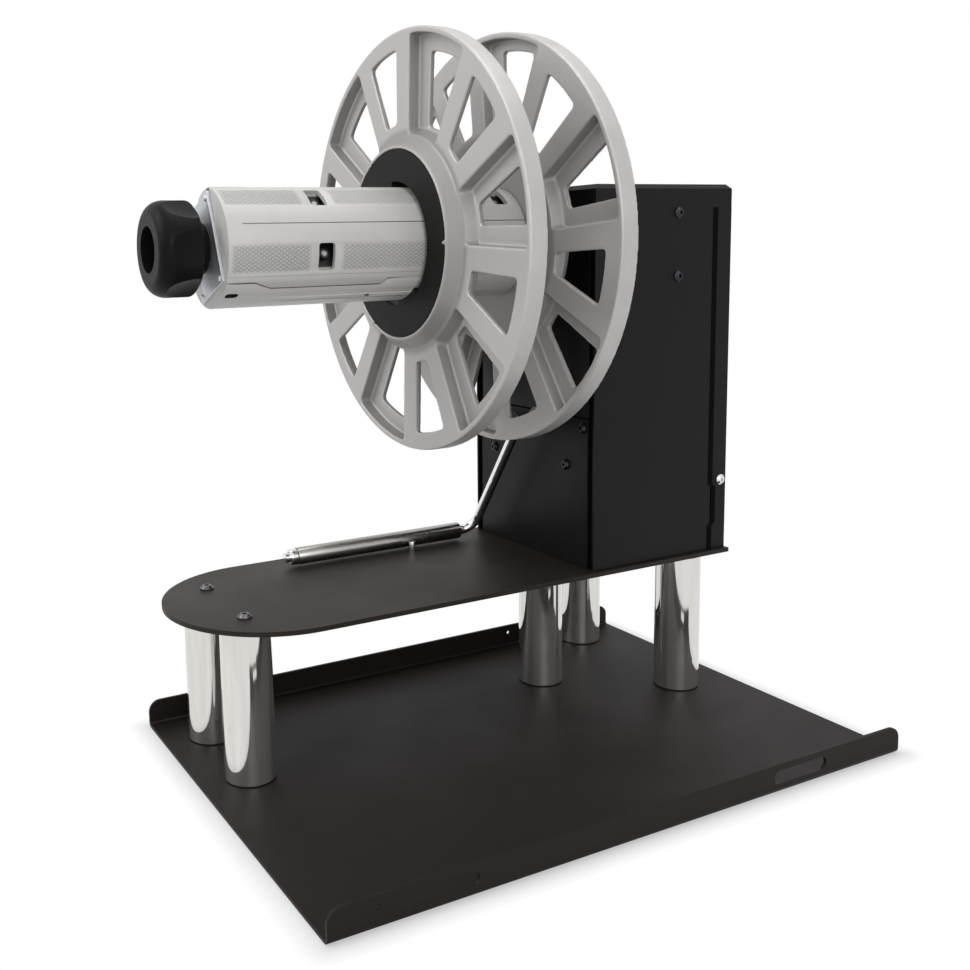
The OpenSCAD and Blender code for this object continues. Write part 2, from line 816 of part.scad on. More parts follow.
module gear_motor() {
    color([0.35, 0.36, 0.38]) at_hub() translate([0, -drive_drop, 0]) difference() {
        union() {
            translate([0, 0, -bridge_y - bridge_t - motor_gear_l])
                cylinder(h = motor_gear_l, r = motor_gear_r);
            translate([0, 0, -bridge_y - bridge_t - motor_gear_l - motor_can_l])
                cylinder(h = motor_can_l, r = motor_can_r);
            translate([0, 0, -bridge_y - bridge_t]) cylinder(h = bridge_t, r = motor_pilot_r);
        }
        translate([0, 0, -bridge_y - bridge_t - motor_bore_l])
            cylinder(h = bridge_t + motor_bore_l + cut, r = motor_shaft_r + run_gap);
    }
}

module motor_pulley() {
    back = bridge_y + bridge_t + motor_bore_l - seat_gap;
    color([0.72, 0.73, 0.74]) at_hub() translate([0, -drive_drop, 0]) {
        translate([0, 0, -pulley_y - pulley_w]) pulley(pulley_d / drive_ratio / 2, motor_shaft_r / 2);
        translate([0, 0, -back]) cylinder(h = back - pulley_y, r = motor_shaft_r);
    }
}

module control_board() {
    x0 = -inner_x;
    color([0.1, 0.35, 0.2]) translate([x0, board_y, deck_top + board_z]) {
        translate([post_l, 0, 0]) cube([board_t, board_l, board_h]);
        for (y = [post_inset, board_l - post_inset], z = [post_inset, board_h - post_inset])
            translate([0, y, z]) rotate([0, 90, 0]) cylinder(h = post_l, r = post_r);
        translate([post_l + board_t, (board_l - chip_l) / 2, (board_h - chip_h) / 2])
            cube([chip_t, chip_l, chip_h]);
        translate([post_l + board_t, board_l - 2 * plug_l, (board_h - plug_h) / 2])
            cube([plug_t, plug_l, plug_h]);
    }
}

module power_inlet() {
    color([0.06, 0.06, 0.06]) translate([inlet_x, tower_d, deck_top + inlet_z]) rotate([-90, 0, 0])
        difference() {
            union() {
                cylinder(h = inlet_flange_t, r = inlet_flange_r);
                translate([0, 0, -inlet_l]) cylinder(h = inlet_l, r = inlet_r);
            }
            translate([0, 0, inlet_flange_t - inlet_bore_l])
                tube(inlet_bore_r, inlet_pin_r, inlet_bore_l + cut);
            translate([0, 0, inlet_flange_t - cut / 2]) cylinder(h = cut, r = inlet_bore_r);
        }
}

module switch_body() {
    w = switch_w;
    h = switch_h;
    color([0.07, 0.07, 0.07]) translate([switch_x, tower_d, deck_top + inlet_z]) difference() {
        union() {
            translate([-w / 2, -switch_l, -h / 2]) cube([w, switch_l, h]);
            translate([-w / 2 - switch_flange, 0, -h / 2 - switch_flange])
                cube([w + 2 * switch_flange, switch_flange, h + 2 * switch_flange]);
        }
        translate([switch_wall - w / 2, switch_wall - switch_l, switch_wall - h / 2])
            cube([w - 2 * switch_wall, switch_l + switch_flange, h - 2 * switch_wall]);
        translate([-w / 2 - cut, 0, 0]) rotate([0, 90, 0])
            cylinder(h = w + 2 * cut, r = rocker_pin_r + run_gap);
    }
}

module switch_rocker() {
    half_w = switch_w / 2 - switch_wall - rocker_gap;
    color([0.05, 0.05, 0.05]) translate([switch_x, tower_d, deck_top + inlet_z])
        rotate([-rocker_tilt, 0, 0]) {
            translate([-half_w, 0, 0]) rotate([90, 0, 90])
                linear_extrude(2 * half_w) polygon([[rocker_front, -rocker_half],
                    [rocker_front - rocker_dip, 0], [rocker_front, rocker_half],
                    [-rocker_back, rocker_half * rocker_back_share],
                    [-rocker_back, -rocker_half * rocker_back_share]]);
            translate([-half_w - rocker_pin_l, 0, 0]) rotate([0, 90, 0])
                cylinder(h = 2 * (half_w + rocker_pin_l), r = rocker_pin_r);
        }
}

module arm_bush() {
    color([0.72, 0.55, 0.28]) translate([arm_pivot_x, 0, arm_pivot_z]) rotate([-90, 0, 0])
        difference() {
            union() {
                translate([0, 0, -bush_flange_t]) cylinder(h = bush_flange_t, r = bush_flange_r);
                cylinder(h = bush_l, r = bush_r);
            }
            translate([0, 0, -bush_flange_t - cut])
                cylinder(h = bush_l + bush_flange_t + 2 * cut, r = shaft_r + run_gap);
        }
}

module arm_sensor() {
    color([0.15, 0.15, 0.17]) translate([arm_pivot_x, bush_l, arm_pivot_z]) difference() {
        translate([-sensor_w / 2, 0, -sensor_w / 2]) cube([sensor_w, sensor_l, sensor_w]);
        translate([0, -cut, 0]) rotate([-90, 0, 0])
            cylinder(h = sensor_l, r = shaft_r + seat_gap);
    }
}

module stop_pin() {
    color([0.75, 0.76, 0.77]) translate([pin_place()[0], pin_place()[1], 0]) {
        translate([0, 0, deck_top]) cylinder(h = pin_h, r = pin_r);
        translate([0, 0, deck_z]) cylinder(h = deck_t, r = pin_r / 2);
    }
}

// Spindle with the flange that carries the inner flange and the hub
module spindle() {
    back = bridge_y + bridge_t + spindle_flange_t;
    front = core_rear - web_t;
    color([0.7, 0.71, 0.72]) at_hub() difference() {
        union() {
            translate([0, 0, -back]) cylinder(h = back + front, r = spindle_d / 2);
            translate([0, 0, front - spindle_flange_t])
                cylinder(h = spindle_flange_t, r = spindle_flange_r);
            cylinder(h = core_rear, r = spindle_d / 2);
        }
        flange_bores(front - spindle_flange_t - cut, spindle_flange_t + 2 * cut);
    }
}

// Bores of the screws that join spindle, inner flange and hub
module flange_bores(z, h) {
    for (i = [0:flange_screw_count - 1]) rotate([0, 0, i * 360 / flange_screw_count + jaw_angle])
        translate([flange_screw_pcd, 0, z]) cylinder(h = h, r = flange_screw_r + screw_gap);
}

module spindle_pulley() {
    color([0.72, 0.73, 0.74]) at_hub() translate([0, 0, -pulley_y - pulley_w])
        pulley(pulley_d / 2, spindle_d / 2 + run_gap);
}

module flange_screws() {
    z = core_rear - web_t - spindle_flange_t;
    color([0.3, 0.3, 0.31]) at_hub() for (i = [0:flange_screw_count - 1])
        rotate([0, 0, i * 360 / flange_screw_count + jaw_angle])
            translate([flange_screw_pcd, 0, z]) rotate([180, 0, 0])
                button(flange_screw_head_r, flange_screw_head_h, flange_screw_r,
                    web_t + spindle_flange_t + rear_plate_t - screw_gap);
}

// Wedge outline about the direction c, its edges h degrees off and set in by a wall
module wedge_sector(c, h, inset, r) {
    rotate([0, 0, c]) translate([inset / sin(h), 0])
        polygon([[0, 0], [r, -r * tan(h)], [r, r * tan(h)]]);
}

// Pocket between two radii and two radial walls
module pocket(c, r0, r1, z, h) {
    half = 90 / window_count;
    translate([0, 0, z]) linear_extrude(h) intersection() {
        difference() {
            circle(r = r1);
            circle(r = r0);
        }
        wedge_sector(c, half, web_t / 2, r1);
    }
}

// Through window, narrower towards the hub
module window(c, in_share, out_share) {
    r0 = flange_r * in_share;
    r1 = flange_r * out_share;
    ri = r0 / 2;
    ro = r1 + web_t;
    a = atan2(r1 * sin(window_out_angle) - r0 * sin(window_in_angle), r1 - r0);
    y0 = r0 * sin(window_in_angle) - (r0 - ri) * tan(a);
    y1 = r1 * sin(window_out_angle) + (ro - r1) * tan(a);
    translate([0, 0, -cut]) linear_extrude(flange_t + 2 * cut) intersection() {
        difference() {
            circle(r = r1);
            circle(r = r0);
        }
        rotate([0, 0, c]) polygon([[ri, -y0], [ro, -y1], [ro, y1], [ri, y0]]);
    }
}

// Moulded flange: its label side at z = 0, its boss towards +z, webs at two levels in turn
module flange_body(bore_r, phase) {
    step = 360 / window_count;
    seat = disc_d / 2 + disc_gap;
    difference() {
        union() {
            tube(flange_r, boss_r - web_t, flange_t, $fn = 128);
            rotate_extrude($fn = 128) polygon([[bore_r, dish], [dish_r, dish],
                [dish_r + dish_slope, 0], [boss_r, 0], [boss_r, flange_t], [cone_r, flange_t],
                [cone_top_r, boss_h], [seat, boss_h], [seat, boss_h - disc_t],
                [seat - disc_seat, boss_h - disc_t], [seat - disc_seat + disc_gap, dish + web_t],
                [bore_r, dish + web_t]]);
        }
        for (i = [0:window_count - 1]) {
            pocket(phase + i * step, pocket_r, flange_r - rim_w, web_t, flange_t);
            pocket(phase + (i + 1 / 2) * step, pocket_r, flange_r - rim_w, -cut,
                flange_t - web_t + cut);
            window(phase + i * step, window_low_in_share, window_low_out_share);
            window(phase + (i + 1 / 2) * step, window_in_share, window_out_share);
        }
    }
}

module inner_flange() {
    color([0.66, 0.67, 0.69]) at_hub() translate([0, 0, flange_face]) mirror([0, 0, 1])
        difference() {
            flange_body(spindle_d / 2 + screw_gap, far_phase);
            flange_bores(dish - cut, web_t + 2 * cut);
        }
}

module inner_flange_disc() {
    color([0.07, 0.07, 0.07]) at_hub() translate([0, 0, flange_face - boss_h])
        tube(disc_d / 2, rear_disc_hole_r, disc_t);
}

module outer_flange() {
    color([0.66, 0.67, 0.69]) at_hub() translate([0, 0, near_face]) {
        flange_body(core_bore_r, near_phase);
        translate([0, 0, dish]) tube(core_bore_r + core_rib_t, core_bore_r, boss_h - disc_t - dish);
        for (i = [0:nub_count - 1]) rotate([0, 0, i * 360 / nub_count])
            translate([cone_top_r - nub_inset - nub_l, -nub_w / 2, boss_h]) cube([nub_l, nub_w, nub_h]);
    }
}

module outer_flange_disc() {
    color([0.07, 0.07, 0.07]) at_hub() translate([0, 0, near_face + boss_h - disc_t])
        tube(disc_d / 2, core_bore_r, disc_t);
}

// Two grip pads in the outer flange's bore that ride on the hub's fixed covers
module outer_flange_pads() {
    color([0.09, 0.09, 0.09]) at_jaws() translate([0, 0, near_face + dish])
        linear_extrude(boss_h - dish) for (m = [0, 1]) rotate([0, 0, 90 + 180 * m])
            intersection() {
                difference() {
                    circle(r = core_bore_r - run_gap);
                    circle(r = hub_r + seat_gap);
                }
                wedge_sector(0, pad_half_angle, 0, core_bore_r);
            }
}

// Rectangular plate across the hub's core
module core_plate(z, h) {
    translate([-core_u, -core_v, z]) cube([2 * core_u, 2 * core_v, h]);
}

module hub_rear_plate() {
    color([0.45, 0.5, 0.58]) difference() {
        at_jaws() core_plate(core_rear, rear_plate_t);
        at_hub() flange_bores(core_rear - cut, rear_plate_t + 2 * cut);
    }
}

module hub_frame() {
    color([0.45, 0.47, 0.5]) at_jaws() difference() {
        core_plate(frame_rear, frame_front - frame_rear);
        translate([core_t - core_u, core_t - core_v, frame_rear - cut])
            cube([2 * (core_u - core_t), 2 * (core_v - core_t), frame_front - frame_rear + 2 * cut]);
        for (y = wedge_ys) translate([-core_u - cut, -bar_v - seat_gap, y + lug_inset - seat_gap])
            cube([2 * core_u + 2 * cut, 2 * (bar_v + seat_gap), lug_l + 2 * seat_gap]);
        for (y = window_ys, v = [-guide_v, guide_v]) translate([-core_u - cut, v, y])
            rotate([0, 90, 0]) cylinder(h = 2 * core_u + 2 * cut, r = guide_r + screw_gap);
        for (m = [0, 1]) rotate([0, 0, 180 * m]) translate([-cover_screw_u, 0, cover_screw_y])
            rotate([-90, 0, 0]) cylinder(h = core_v + cut, r = cover_screw_r + screw_gap);
    }
}

// Corner places of the front plate's rivets
function rivet_places() = [for (x = [-1, 1], y = [-1, 1])
    [x * (core_u - rivet_inset), y * (core_v - rivet_inset)]];

module hub_front_plate() {
    color([0.45, 0.52, 0.62]) at_jaws() difference() {
        core_plate(frame_front, front_plate_t);
        translate([0, 0, frame_front - cut])
            cylinder(h = front_plate_t + 2 * cut, r = nut_r + run_gap);
        for (p = rivet_places()) translate([p[0], p[1], frame_front - cut])
            cylinder(h = front_plate_t + 2 * cut, r = rivet_r / 2 + screw_gap);
    }
}

module plate_rivets() {
    color([0.6, 0.63, 0.68]) at_jaws() for (p = rivet_places())
        translate([p[0], p[1], frame_front]) {
            cylinder(h = front_plate_t, r = rivet_r / 2);
            translate([0, 0, front_plate_t]) cylinder(h = rivet_h, r1 = rivet_r, r2 = rivet_r * dome_share);
        }
}

// Outline of a jaw's tongue in the plane of its travel, out to a place and widened by a gap
function tongue_outline(reach, gap) =
    let (out = reach - tongue_u + gap, deep = jaw_u - tongue_u)
    [[tongue_u - gap, tongue_ys[0] - gap], [tongue_u - gap, tongue_ys[1] + gap],
        [reach, tongue_ys[1] + gap + out * tongue_front_slope_l / deep],
        [reach, tongue_ys[0] - gap - out * tongue_rear_slope_l / deep]];

// Shallow cover over one side of the core, its middle along +y, short of the front by an inset
module hub_cover(inset) {
    len = hub_front - inset - hub_rear;
    difference() {
        intersection() {
            translate([0, 0, hub_rear]) cylinder(h = len, r = hub_r, $fn = 128);
            translate([-core_u, core_v, hub_rear]) cube([2 * core_u, hub_r, len]);
        }
        intersection() {
            translate([0, 0, hub_rear + jaw_end_t])
                cylinder(h = len - 2 * jaw_end_t, r = hub_r - jaw_wall, $fn = 128);
            translate([core_t - core_u, core_v - cut, hub_rear])
                cube([2 * (core_u - core_t), hub_r, len]);
        }
        for (m = [0, 1]) mirror([m, 0, 0]) translate([0, hub_r, 0]) rotate([90, 0, 0])
            linear_extrude(hub_r - core_v + cut) polygon(tongue_outline(core_u + cut, seat_gap));
        for (z = [-cover_hole_l / 2, cover_hole_l / 2])
            translate([cover_hole_u, 0, cover_hole_y + z]) rotate([-90, 0, 0])
                cylinder(h = hub_r, r = cover_hole_r);
        translate([cover_hole_u - cover_hole_r, 0, cover_hole_y - cover_hole_l / 2])
            cube([2 * cover_hole_r, hub_r, cover_hole_l]);
        translate([cover_screw_u, 0, cover_screw_y]) rotate([-90, 0, 0])
            cylinder(h = hub_r, r = cover_screw_r + screw_gap);
    }
}

module hub_cover_upper() {
    color([0.5, 0.51, 0.53]) at_jaws() mirror([1, 0, 0]) hub_cover(upper_cover_inset);
}

module hub_cover_lower() {
    color([0.5, 0.51, 0.53]) at_jaws() mirror([0, 1, 0]) hub_cover(jaw_front_inset);
}

module cover_screws() {
    base = core_v - 2 * core_t;
    len = sqrt(hub_r * hub_r - cover_screw_u * cover_screw_u) - base;
    color([0.3, 0.3, 0.31]) at_jaws() for (m = [0, 1]) rotate([0, 0, 180 * m])
        translate([-cover_screw_u, base, cover_screw_y]) rotate([-90, 0, 0]) difference() {
            cylinder(h = len, r = cover_screw_r);
            translate([0, 0, len - cover_screw_r])
                cylinder(h = cover_screw_r + cut, r = cover_screw_r * dome_share, $fn = 6);
        }
}

module guide_screws() {
    color([0.78, 0.79, 0.8]) at_jaws() for (m = [0, 1], y = window_ys, v = [-guide_v, guide_v])
        mirror([m, 0, 0]) translate([core_u - core_t, v, y]) rotate([0, 90, 0]) {
            cylinder(h = guide_head_u - core_u + core_t + guide_head_h, r = guide_r);
            translate([0, 0, guide_head_u - core_u + core_t])
                cylinder(h = guide_head_h, r = guide_head_r);
        }
}

// Half width of a wedge at a place along the draw bar, from the wedge's thick end
function wedge_u(y) = wedge_high - wedge_slope * y;

// Window with round corners, cut through a jaw's wall along +x from a distance off the axis
module jaw_window(x) {
    r = window_corner_r;
    w = window_w / 2 - r;
    l = window_l / 2 - r;
    corners = [[w, l], [-w, l], [-w, -l], [w, -l]];
    translate([x, 0, 0]) rotate([90, 0, 90]) linear_extrude(hub_r)
        polygon([for (i = [0:3], p = arc_points(r, r, 90 * i, 90 * i + 90, corners[i][0],
            corners[i][1], corner_steps)) p]);
}

// Jaw that moves along +x: a hollow segment with four windows, two tongues and two lugs
module hub_jaw() {
    w0 = sqrt(pow(hub_r - jaw_wall, 2) - pow(window_w / 2, 2));
    difference() {
        union() {
            intersection() {
                translate([0, 0, hub_rear]) cylinder(h = jaw_len, r = hub_r, $fn = 128);
                translate([jaw_u, -hub_r, hub_rear]) cube([hub_r, 2 * hub_r, jaw_len]);
            }
            intersection() {
                translate([0, 0, hub_rear]) cylinder(h = jaw_len, r = hub_r, $fn = 128);
                union() for (m = [0, 1]) mirror([0, m, 0]) translate([0, hub_r, 0])
                    rotate([90, 0, 0]) linear_extrude(hub_r - core_v - seat_gap)
                        polygon(tongue_outline(jaw_u + cut, 0));
            }
        }
        intersection() {
            translate([0, 0, hub_rear + jaw_end_t])
                cylinder(h = jaw_len - 2 * jaw_end_t, r = hub_r - jaw_wall, $fn = 128);
            translate([jaw_u + jaw_base_t, -hub_r, hub_rear]) cube([hub_r, 2 * hub_r, jaw_len]);
        }
        for (y = window_ys, a = [-window_angle, window_angle]) rotate([0, 0, a])
            translate([0, 0, y]) jaw_window(w0);
        for (y = window_ys, v = [-guide_v, guide_v]) translate([jaw_u - cut, v, y])
            rotate([0, 90, 0]) cylinder(h = jaw_base_t + 2 * cut, r = guide_r + guide_gap);
    }
    for (y = wedge_ys) translate([0, bar_v, 0]) rotate([90, 0, 0]) linear_extrude(2 * bar_v)
        polygon([[wedge_u(lug_inset) + seat_gap, y + lug_inset], [jaw_u, y + lug_inset],
            [jaw_u, y + lug_inset + lug_l],
            [wedge_u(lug_inset + lug_l) + seat_gap, y + lug_inset + lug_l]]);
}

module hub_jaw_right() {
    color([0.56, 0.57, 0.59]) at_jaws() hub_jaw();
}

module hub_jaw_left() {
    color([0.56, 0.57, 0.59]) at_jaws() rotate([0, 0, 180]) hub_jaw();
}

module wedge_bar() {
    color([0.5, 0.5, 0.52]) at_jaws() difference() {
        union() {
            translate([-bar_u, -bar_v, bar_rear]) cube([2 * bar_u, 2 * bar_v, bar_front - bar_rear]);
            for (y = wedge_ys) translate([0, bar_v, 0]) rotate([90, 0, 0])
                linear_extrude(2 * bar_v) polygon([[-wedge_high, y], [wedge_high, y],
                    [wedge_u(wedge_l), y + wedge_l], [-wedge_u(wedge_l), y + wedge_l]]);
        }
        translate([0, 0, bar_front - draw_grip]) cylinder(h = draw_grip + cut, r = draw_neck_r);
    }
}

module draw_screw() {
    z0 = bar_front - draw_grip + seat_gap;
    color([0.65, 0.65, 0.66]) at_jaws() {
        translate([0, 0, z0]) cylinder(h = bar_front - z0, r = draw_neck_r - run_gap);
        translate([0, 0, bar_front])
            cylinder(h = hub_front + knob_l - knob_recess_l / 2 - bar_front, r = draw_r);
    }
}

// Knob outline from its neck to its front, turned about the hub axis
module knob() {
    r = knob_d / 2;
    z0 = hub_front + rivet_h + seat_gap;
    z1 = hub_front + knob_neck_l;
    z2 = z1 + knob_l;
    color([0.05, 0.05, 0.05]) at_hub() difference() {
        rotate_extrude() polygon(concat([[0, z0], [knob_neck_r, z0], [knob_neck_r, z1]],
            arc_points(knob_rear_edge, knob_rear_edge, -90, 0, r - knob_rear_edge, z1 + knob_rear_edge),
            arc_points(r - knob_front_r, knob_shoulder_l, 0, 90, knob_front_r, z2 - knob_shoulder_l),
            [[0, z2]]));
        for (i = [0:knob_scallops - 1]) rotate([0, 0, i * 360 / knob_scallops])
            translate([r + scallop_r - scallop_d, 0, z1 + scallop_y]) sphere(r = scallop_r);
        translate([0, 0, z2 - knob_recess_l]) cylinder(h = knob_recess_l + cut, r = knob_recess_r);
        translate([0, 0, z0 - cut]) cylinder(h = z2 - z0, r = nut_r + screw_gap);
    }
}

module knob_nut() {
    z0 = frame_front - seat_gap - nut_flange_t;
    z1 = hub_front + knob_neck_l + knob_l - knob_recess_l;
    color([0.75, 0.6, 0.3]) at_hub() difference() {
        union() {
            translate([0, 0, z0]) cylinder(h = z1 - z0, r = nut_r);
            translate([0, 0, z0]) cylinder(h = nut_flange_t, r = nut_flange_r);
        }
        translate([0, 0, z0 - cut]) cylinder(h = z1 - z0 + 2 * cut, r = draw_r + run_gap);
    }
}

// Frame whose x runs from the arm's pivot to its roller, in the arm's plane
module at_arm() {
    translate([arm_pivot_x, -arm_y, arm_pivot_z]) rotate([0, arm_angle, 0]) children();
}

module arm_shaft() {
    color([0.5, 0.51, 0.53]) translate([arm_pivot_x, -arm_y, arm_pivot_z]) rotate([-90, 0, 0]) {
        translate([0, 0, -collar_l / 2]) cylinder(h = collar_l, r = collar_r);
        cylinder(h = arm_y + shaft_in, r = shaft_r);
    }
}

module dancer_arm() {
    color([0.82, 0.83, 0.85]) at_arm() {
        translate([collar_r + run_gap, 0, 0]) rotate([0, 90, 0])
            cylinder(h = arm_len - arm_bend_r - collar_r - run_gap, r = rod_r);
        translate([arm_len - arm_bend_r, -arm_bend_r, 0]) rotate_extrude(angle = 90)
            translate([arm_bend_r, 0]) circle(r = rod_r);
        translate([arm_len, -arm_bend_r, 0]) rotate([90, 0, 0])
            cylinder(h = rod_front - arm_y - arm_bend_r, r = rod_r);
    }
}

// Frame on the roller's axis, its z from the tower's front face towards the knob
module at_roller() {
    at_arm() translate([arm_len, arm_y, 0]) rotate([90, 0, 0]) children();
}

module guide_roller() {
    r = roller_d / 2;
    color([0.84, 0.85, 0.86]) at_roller() translate([0, 0, roller_rear])
        tube(r, r - roller_wall, roller_l);
}

module roller_bushes() {
    r = roller_d / 2 - roller_wall - run_gap;
    color([0.15, 0.15, 0.15]) at_roller() for (z = [roller_rear,
        roller_rear + roller_l - roller_bush_l]) translate([0, 0, z])
            tube(r, rod_r + run_gap, roller_bush_l);
}

module roller_collar() {
    color([0.82, 0.83, 0.85]) at_roller() translate([0, 0, roller_rear + roller_l + clip_gap])
        tube(clip_r, rod_r + run_gap, clip_l);
}

base_tray();
tray_screws();
pillar_front_left();
pillar_front_right();
pillar_middle();
pillar_rear_left();
pillar_rear_right();
deck_plate();
deck_screws();
housing();
foot_screws();
front_panel();
front_cover();
front_cover_screws();
top_cap();
rear_cover();
rear_cover_screws();
side_screws();
bearing_bridge();
bearing_housing();
front_bearing();
rear_bearing();
drive_belt();
gear_motor();
control_board();
power_inlet();
switch_body();
switch_rocker();
arm_bush();
arm_sensor();
stop_pin();
spindle();
spindle_pulley();
motor_pulley();
inner_flange();
inner_flange_disc();
flange_screws();
hub_rear_plate();
hub_frame();
hub_front_plate();
plate_rivets();
hub_cover_upper();
hub_cover_lower();
cover_screws();
guide_screws();
hub_jaw_right();
hub_jaw_left();
wedge_bar();
draw_screw();
knob();
knob_nut();
outer_flange();
outer_flange_disc();
outer_flange_pads();
arm_shaft();
dancer_arm();
roller_collar();
guide_roller();
roller_bushes();
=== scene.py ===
import json
import math

import bmesh
import bpy
from mathutils import Matrix, Vector


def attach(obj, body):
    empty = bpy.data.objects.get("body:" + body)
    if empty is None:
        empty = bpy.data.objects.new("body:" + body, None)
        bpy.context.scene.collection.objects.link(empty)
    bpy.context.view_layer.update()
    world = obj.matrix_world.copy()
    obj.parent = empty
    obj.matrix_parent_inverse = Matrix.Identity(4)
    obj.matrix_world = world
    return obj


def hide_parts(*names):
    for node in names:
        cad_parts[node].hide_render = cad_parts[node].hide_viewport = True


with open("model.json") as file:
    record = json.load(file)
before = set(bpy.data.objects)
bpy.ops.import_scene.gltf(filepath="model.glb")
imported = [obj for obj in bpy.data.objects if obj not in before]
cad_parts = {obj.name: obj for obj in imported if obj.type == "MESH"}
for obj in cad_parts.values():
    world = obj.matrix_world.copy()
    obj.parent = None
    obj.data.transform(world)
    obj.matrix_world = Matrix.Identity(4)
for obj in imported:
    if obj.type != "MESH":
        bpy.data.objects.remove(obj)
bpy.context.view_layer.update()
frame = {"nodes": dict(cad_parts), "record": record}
nodes = frame["nodes"]

# The spindle's height, the hub's radius and the angle its jaws slide at, as in the CAD, in metres
HUB_Z = 0.3235
HUB_R = 0.0363
JAW = math.radians(22)

# One degree, and how near two points are to be one
DEG = math.radians(1)
MERGE = 0.000001

# Spans of a noise's values that a look spreads its light and dark over
CLOUDY = (0.3, 0.7)
STREAKY = (0.35, 0.7)
SMEARED = (0.35, 0.75)

# Painted shade: the near-black colour of the hub's insides and of a slot's walls, where shade
# falls
PAINTED_SHADE = (0.012, 0.012, 0.012)


def scaled(color, k):
    return tuple(c * k for c in color)


class Shader:
    """A node material with its Principled shader and short calls for its nodes."""

    def __init__(self, name, color, rough, metal=0.0, spec=0.5):
        self.mat = bpy.data.materials.new(name)
        self.mat.use_nodes = True
        self.mat.diffuse_color = (*color, 1)
        self.tree = self.mat.node_tree
        self.bsdf = next(n for n in self.tree.nodes if n.type == "BSDF_PRINCIPLED")
        self.bsdf.inputs["Base Color"].default_value = (*color, 1)
        self.bsdf.inputs["Roughness"].default_value = rough
        self.bsdf.inputs["Metallic"].default_value = metal
        self.bsdf.inputs["Specular IOR Level"].default_value = spec
        self._coords = None

    def link(self, a, b):
        self.tree.links.new(a, b)

    def put(self, value, socket):
        """The value on the socket, by a link where it is another node's output."""
        if hasattr(value, "is_output"):
            self.link(value, socket)
        else:
            socket.default_value = value

    # Where a point lies, and which way its face looks
    def coords(self, kind="Object"):
        if self._coords is None:
            self._coords = self.tree.nodes.new("ShaderNodeTexCoord")
        return self._coords.outputs[kind]

    def split(self, vector):
        n = self.tree.nodes.new("ShaderNodeSeparateXYZ")
        self.link(vector, n.inputs[0])
        return n.outputs[0], n.outputs[1], n.outputs[2]

    def xyz(self):
        return self.split(self.coords())

    def normal_y(self):
        return self.split(self.coords("Normal"))[1]

    # Arithmetic
    def math(self, op, a, b=0.0):
        n = self.tree.nodes.new("ShaderNodeMath")
        n.operation = op
        self.put(a, n.inputs[0])
        self.put(b, n.inputs[1])
        return n.outputs[0]

    def add(self, a, b):
        return self.math("ADD", a, b)

    def sub(self, a, b):
        return self.math("SUBTRACT", a, b)

    def mul(self, a, b):
        return self.math("MULTIPLY", a, b)

    def least(self, a, b):
        return self.math("MINIMUM", a, b)

    def most(self, a, b):
        return self.math("MAXIMUM", a, b)

    def absolute(self, a):
        return self.math("ABSOLUTE", a)

    def below(self, a, b):
        return self.math("LESS_THAN", a, b)

    def inverse(self, a):
        return self.sub(1.0, a)

    def dist(self, a, b):
        return self.math("SQRT", self.add(self.mul(a, a), self.mul(b, b)))

    def remap(self, value, a, b, lo, hi):
        n = self.tree.nodes.new("ShaderNodeMapRange")
        n.inputs["From Min"].default_value = a
        n.inputs["From Max"].default_value = b
        n.inputs["To Min"].default_value = lo
        n.inputs["To Max"].default_value = hi
        self.put(value, n.inputs["Value"])
        return n.outputs[0]

    def rise(self, value, a, b):
        """0 up to a, 1 from b on."""
        return self.remap(value, a, b, 0, 1)

    def fall(self, value, a, b):
        """1 up to a, 0 from b on."""
        return self.remap(value, a, b, 1, 0)

    def inside(self, value, lo, hi, soft):
        """1 between lo and hi, 0 outside, with soft ends."""
        return self.mul(self.rise(value, lo - soft, lo + soft),
                        self.fall(value, hi - soft, hi + soft))

    # Textures
    def noise(self, scale, detail=2.0, rough=0.5, stretch=None):
        where = self.coords()
        if stretch:
            m = self.tree.nodes.new("ShaderNodeMapping")
            m.inputs["Scale"].default_value = stretch
            self.link(where, m.inputs["Vector"])
            where = m.outputs[0]
        n = self.tree.nodes.new("ShaderNodeTexNoise")
        n.inputs["Scale"].default_value = scale
        n.inputs["Detail"].default_value = detail
        n.inputs["Roughness"].default_value = rough
        self.link(where, n.inputs["Vector"])
        return n.outputs["Fac"]

    def cells(self, scale):
        n = self.tree.nodes.new("ShaderNodeTexVoronoi")
        n.inputs["Scale"].default_value = scale
        self.link(self.coords(), n.inputs["Vector"])
        return n.outputs["Distance"]

    # Colours
    def mix(self, fac, a, b):
        n = self.tree.nodes.new("ShaderNodeMix")
        n.data_type = "RGBA"
        self.put(fac, n.inputs["Factor"])
        for value, key in ((a, "A"), (b, "B")):
            socket = next(s for s in n.inputs if s.name == key and s.type == "RGBA")
            if isinstance(value, tuple):
                socket.default_value = (*value, 1)
            else:
                self.link(value, socket)
        return next(s for s in n.outputs if s.type == "RGBA")

    def tint(self, value, span, color, low, high):
        """The colour at its low level where the value is low, and high where it is high."""
        return self.mix(self.rise(value, *span), scaled(color, low), scaled(color, high))

    def coats(self, tone, color, *masks):
        """The tone under coats of the colour, each with a mask, its share and its level."""
        for mask, share, level in masks:
            tone = self.mix(self.mul(mask, share), tone, scaled(color, level))
        return tone

    # What the shader gets
    def paint(self, value):
        self.link(value, self.bsdf.inputs["Base Color"])

    def roughen(self, value, span, lo, hi):
        self.link(self.remap(value, *span, lo, hi), self.bsdf.inputs["Roughness"])

    def bump(self, height, distance, strength):
        n = self.tree.nodes.new("ShaderNodeBump")
        n.inputs["Distance"].default_value = distance
        n.inputs["Strength"].default_value = strength
        self.put(height, n.inputs["Height"])
        self.link(n.outputs["Normal"], self.bsdf.inputs["Normal"])


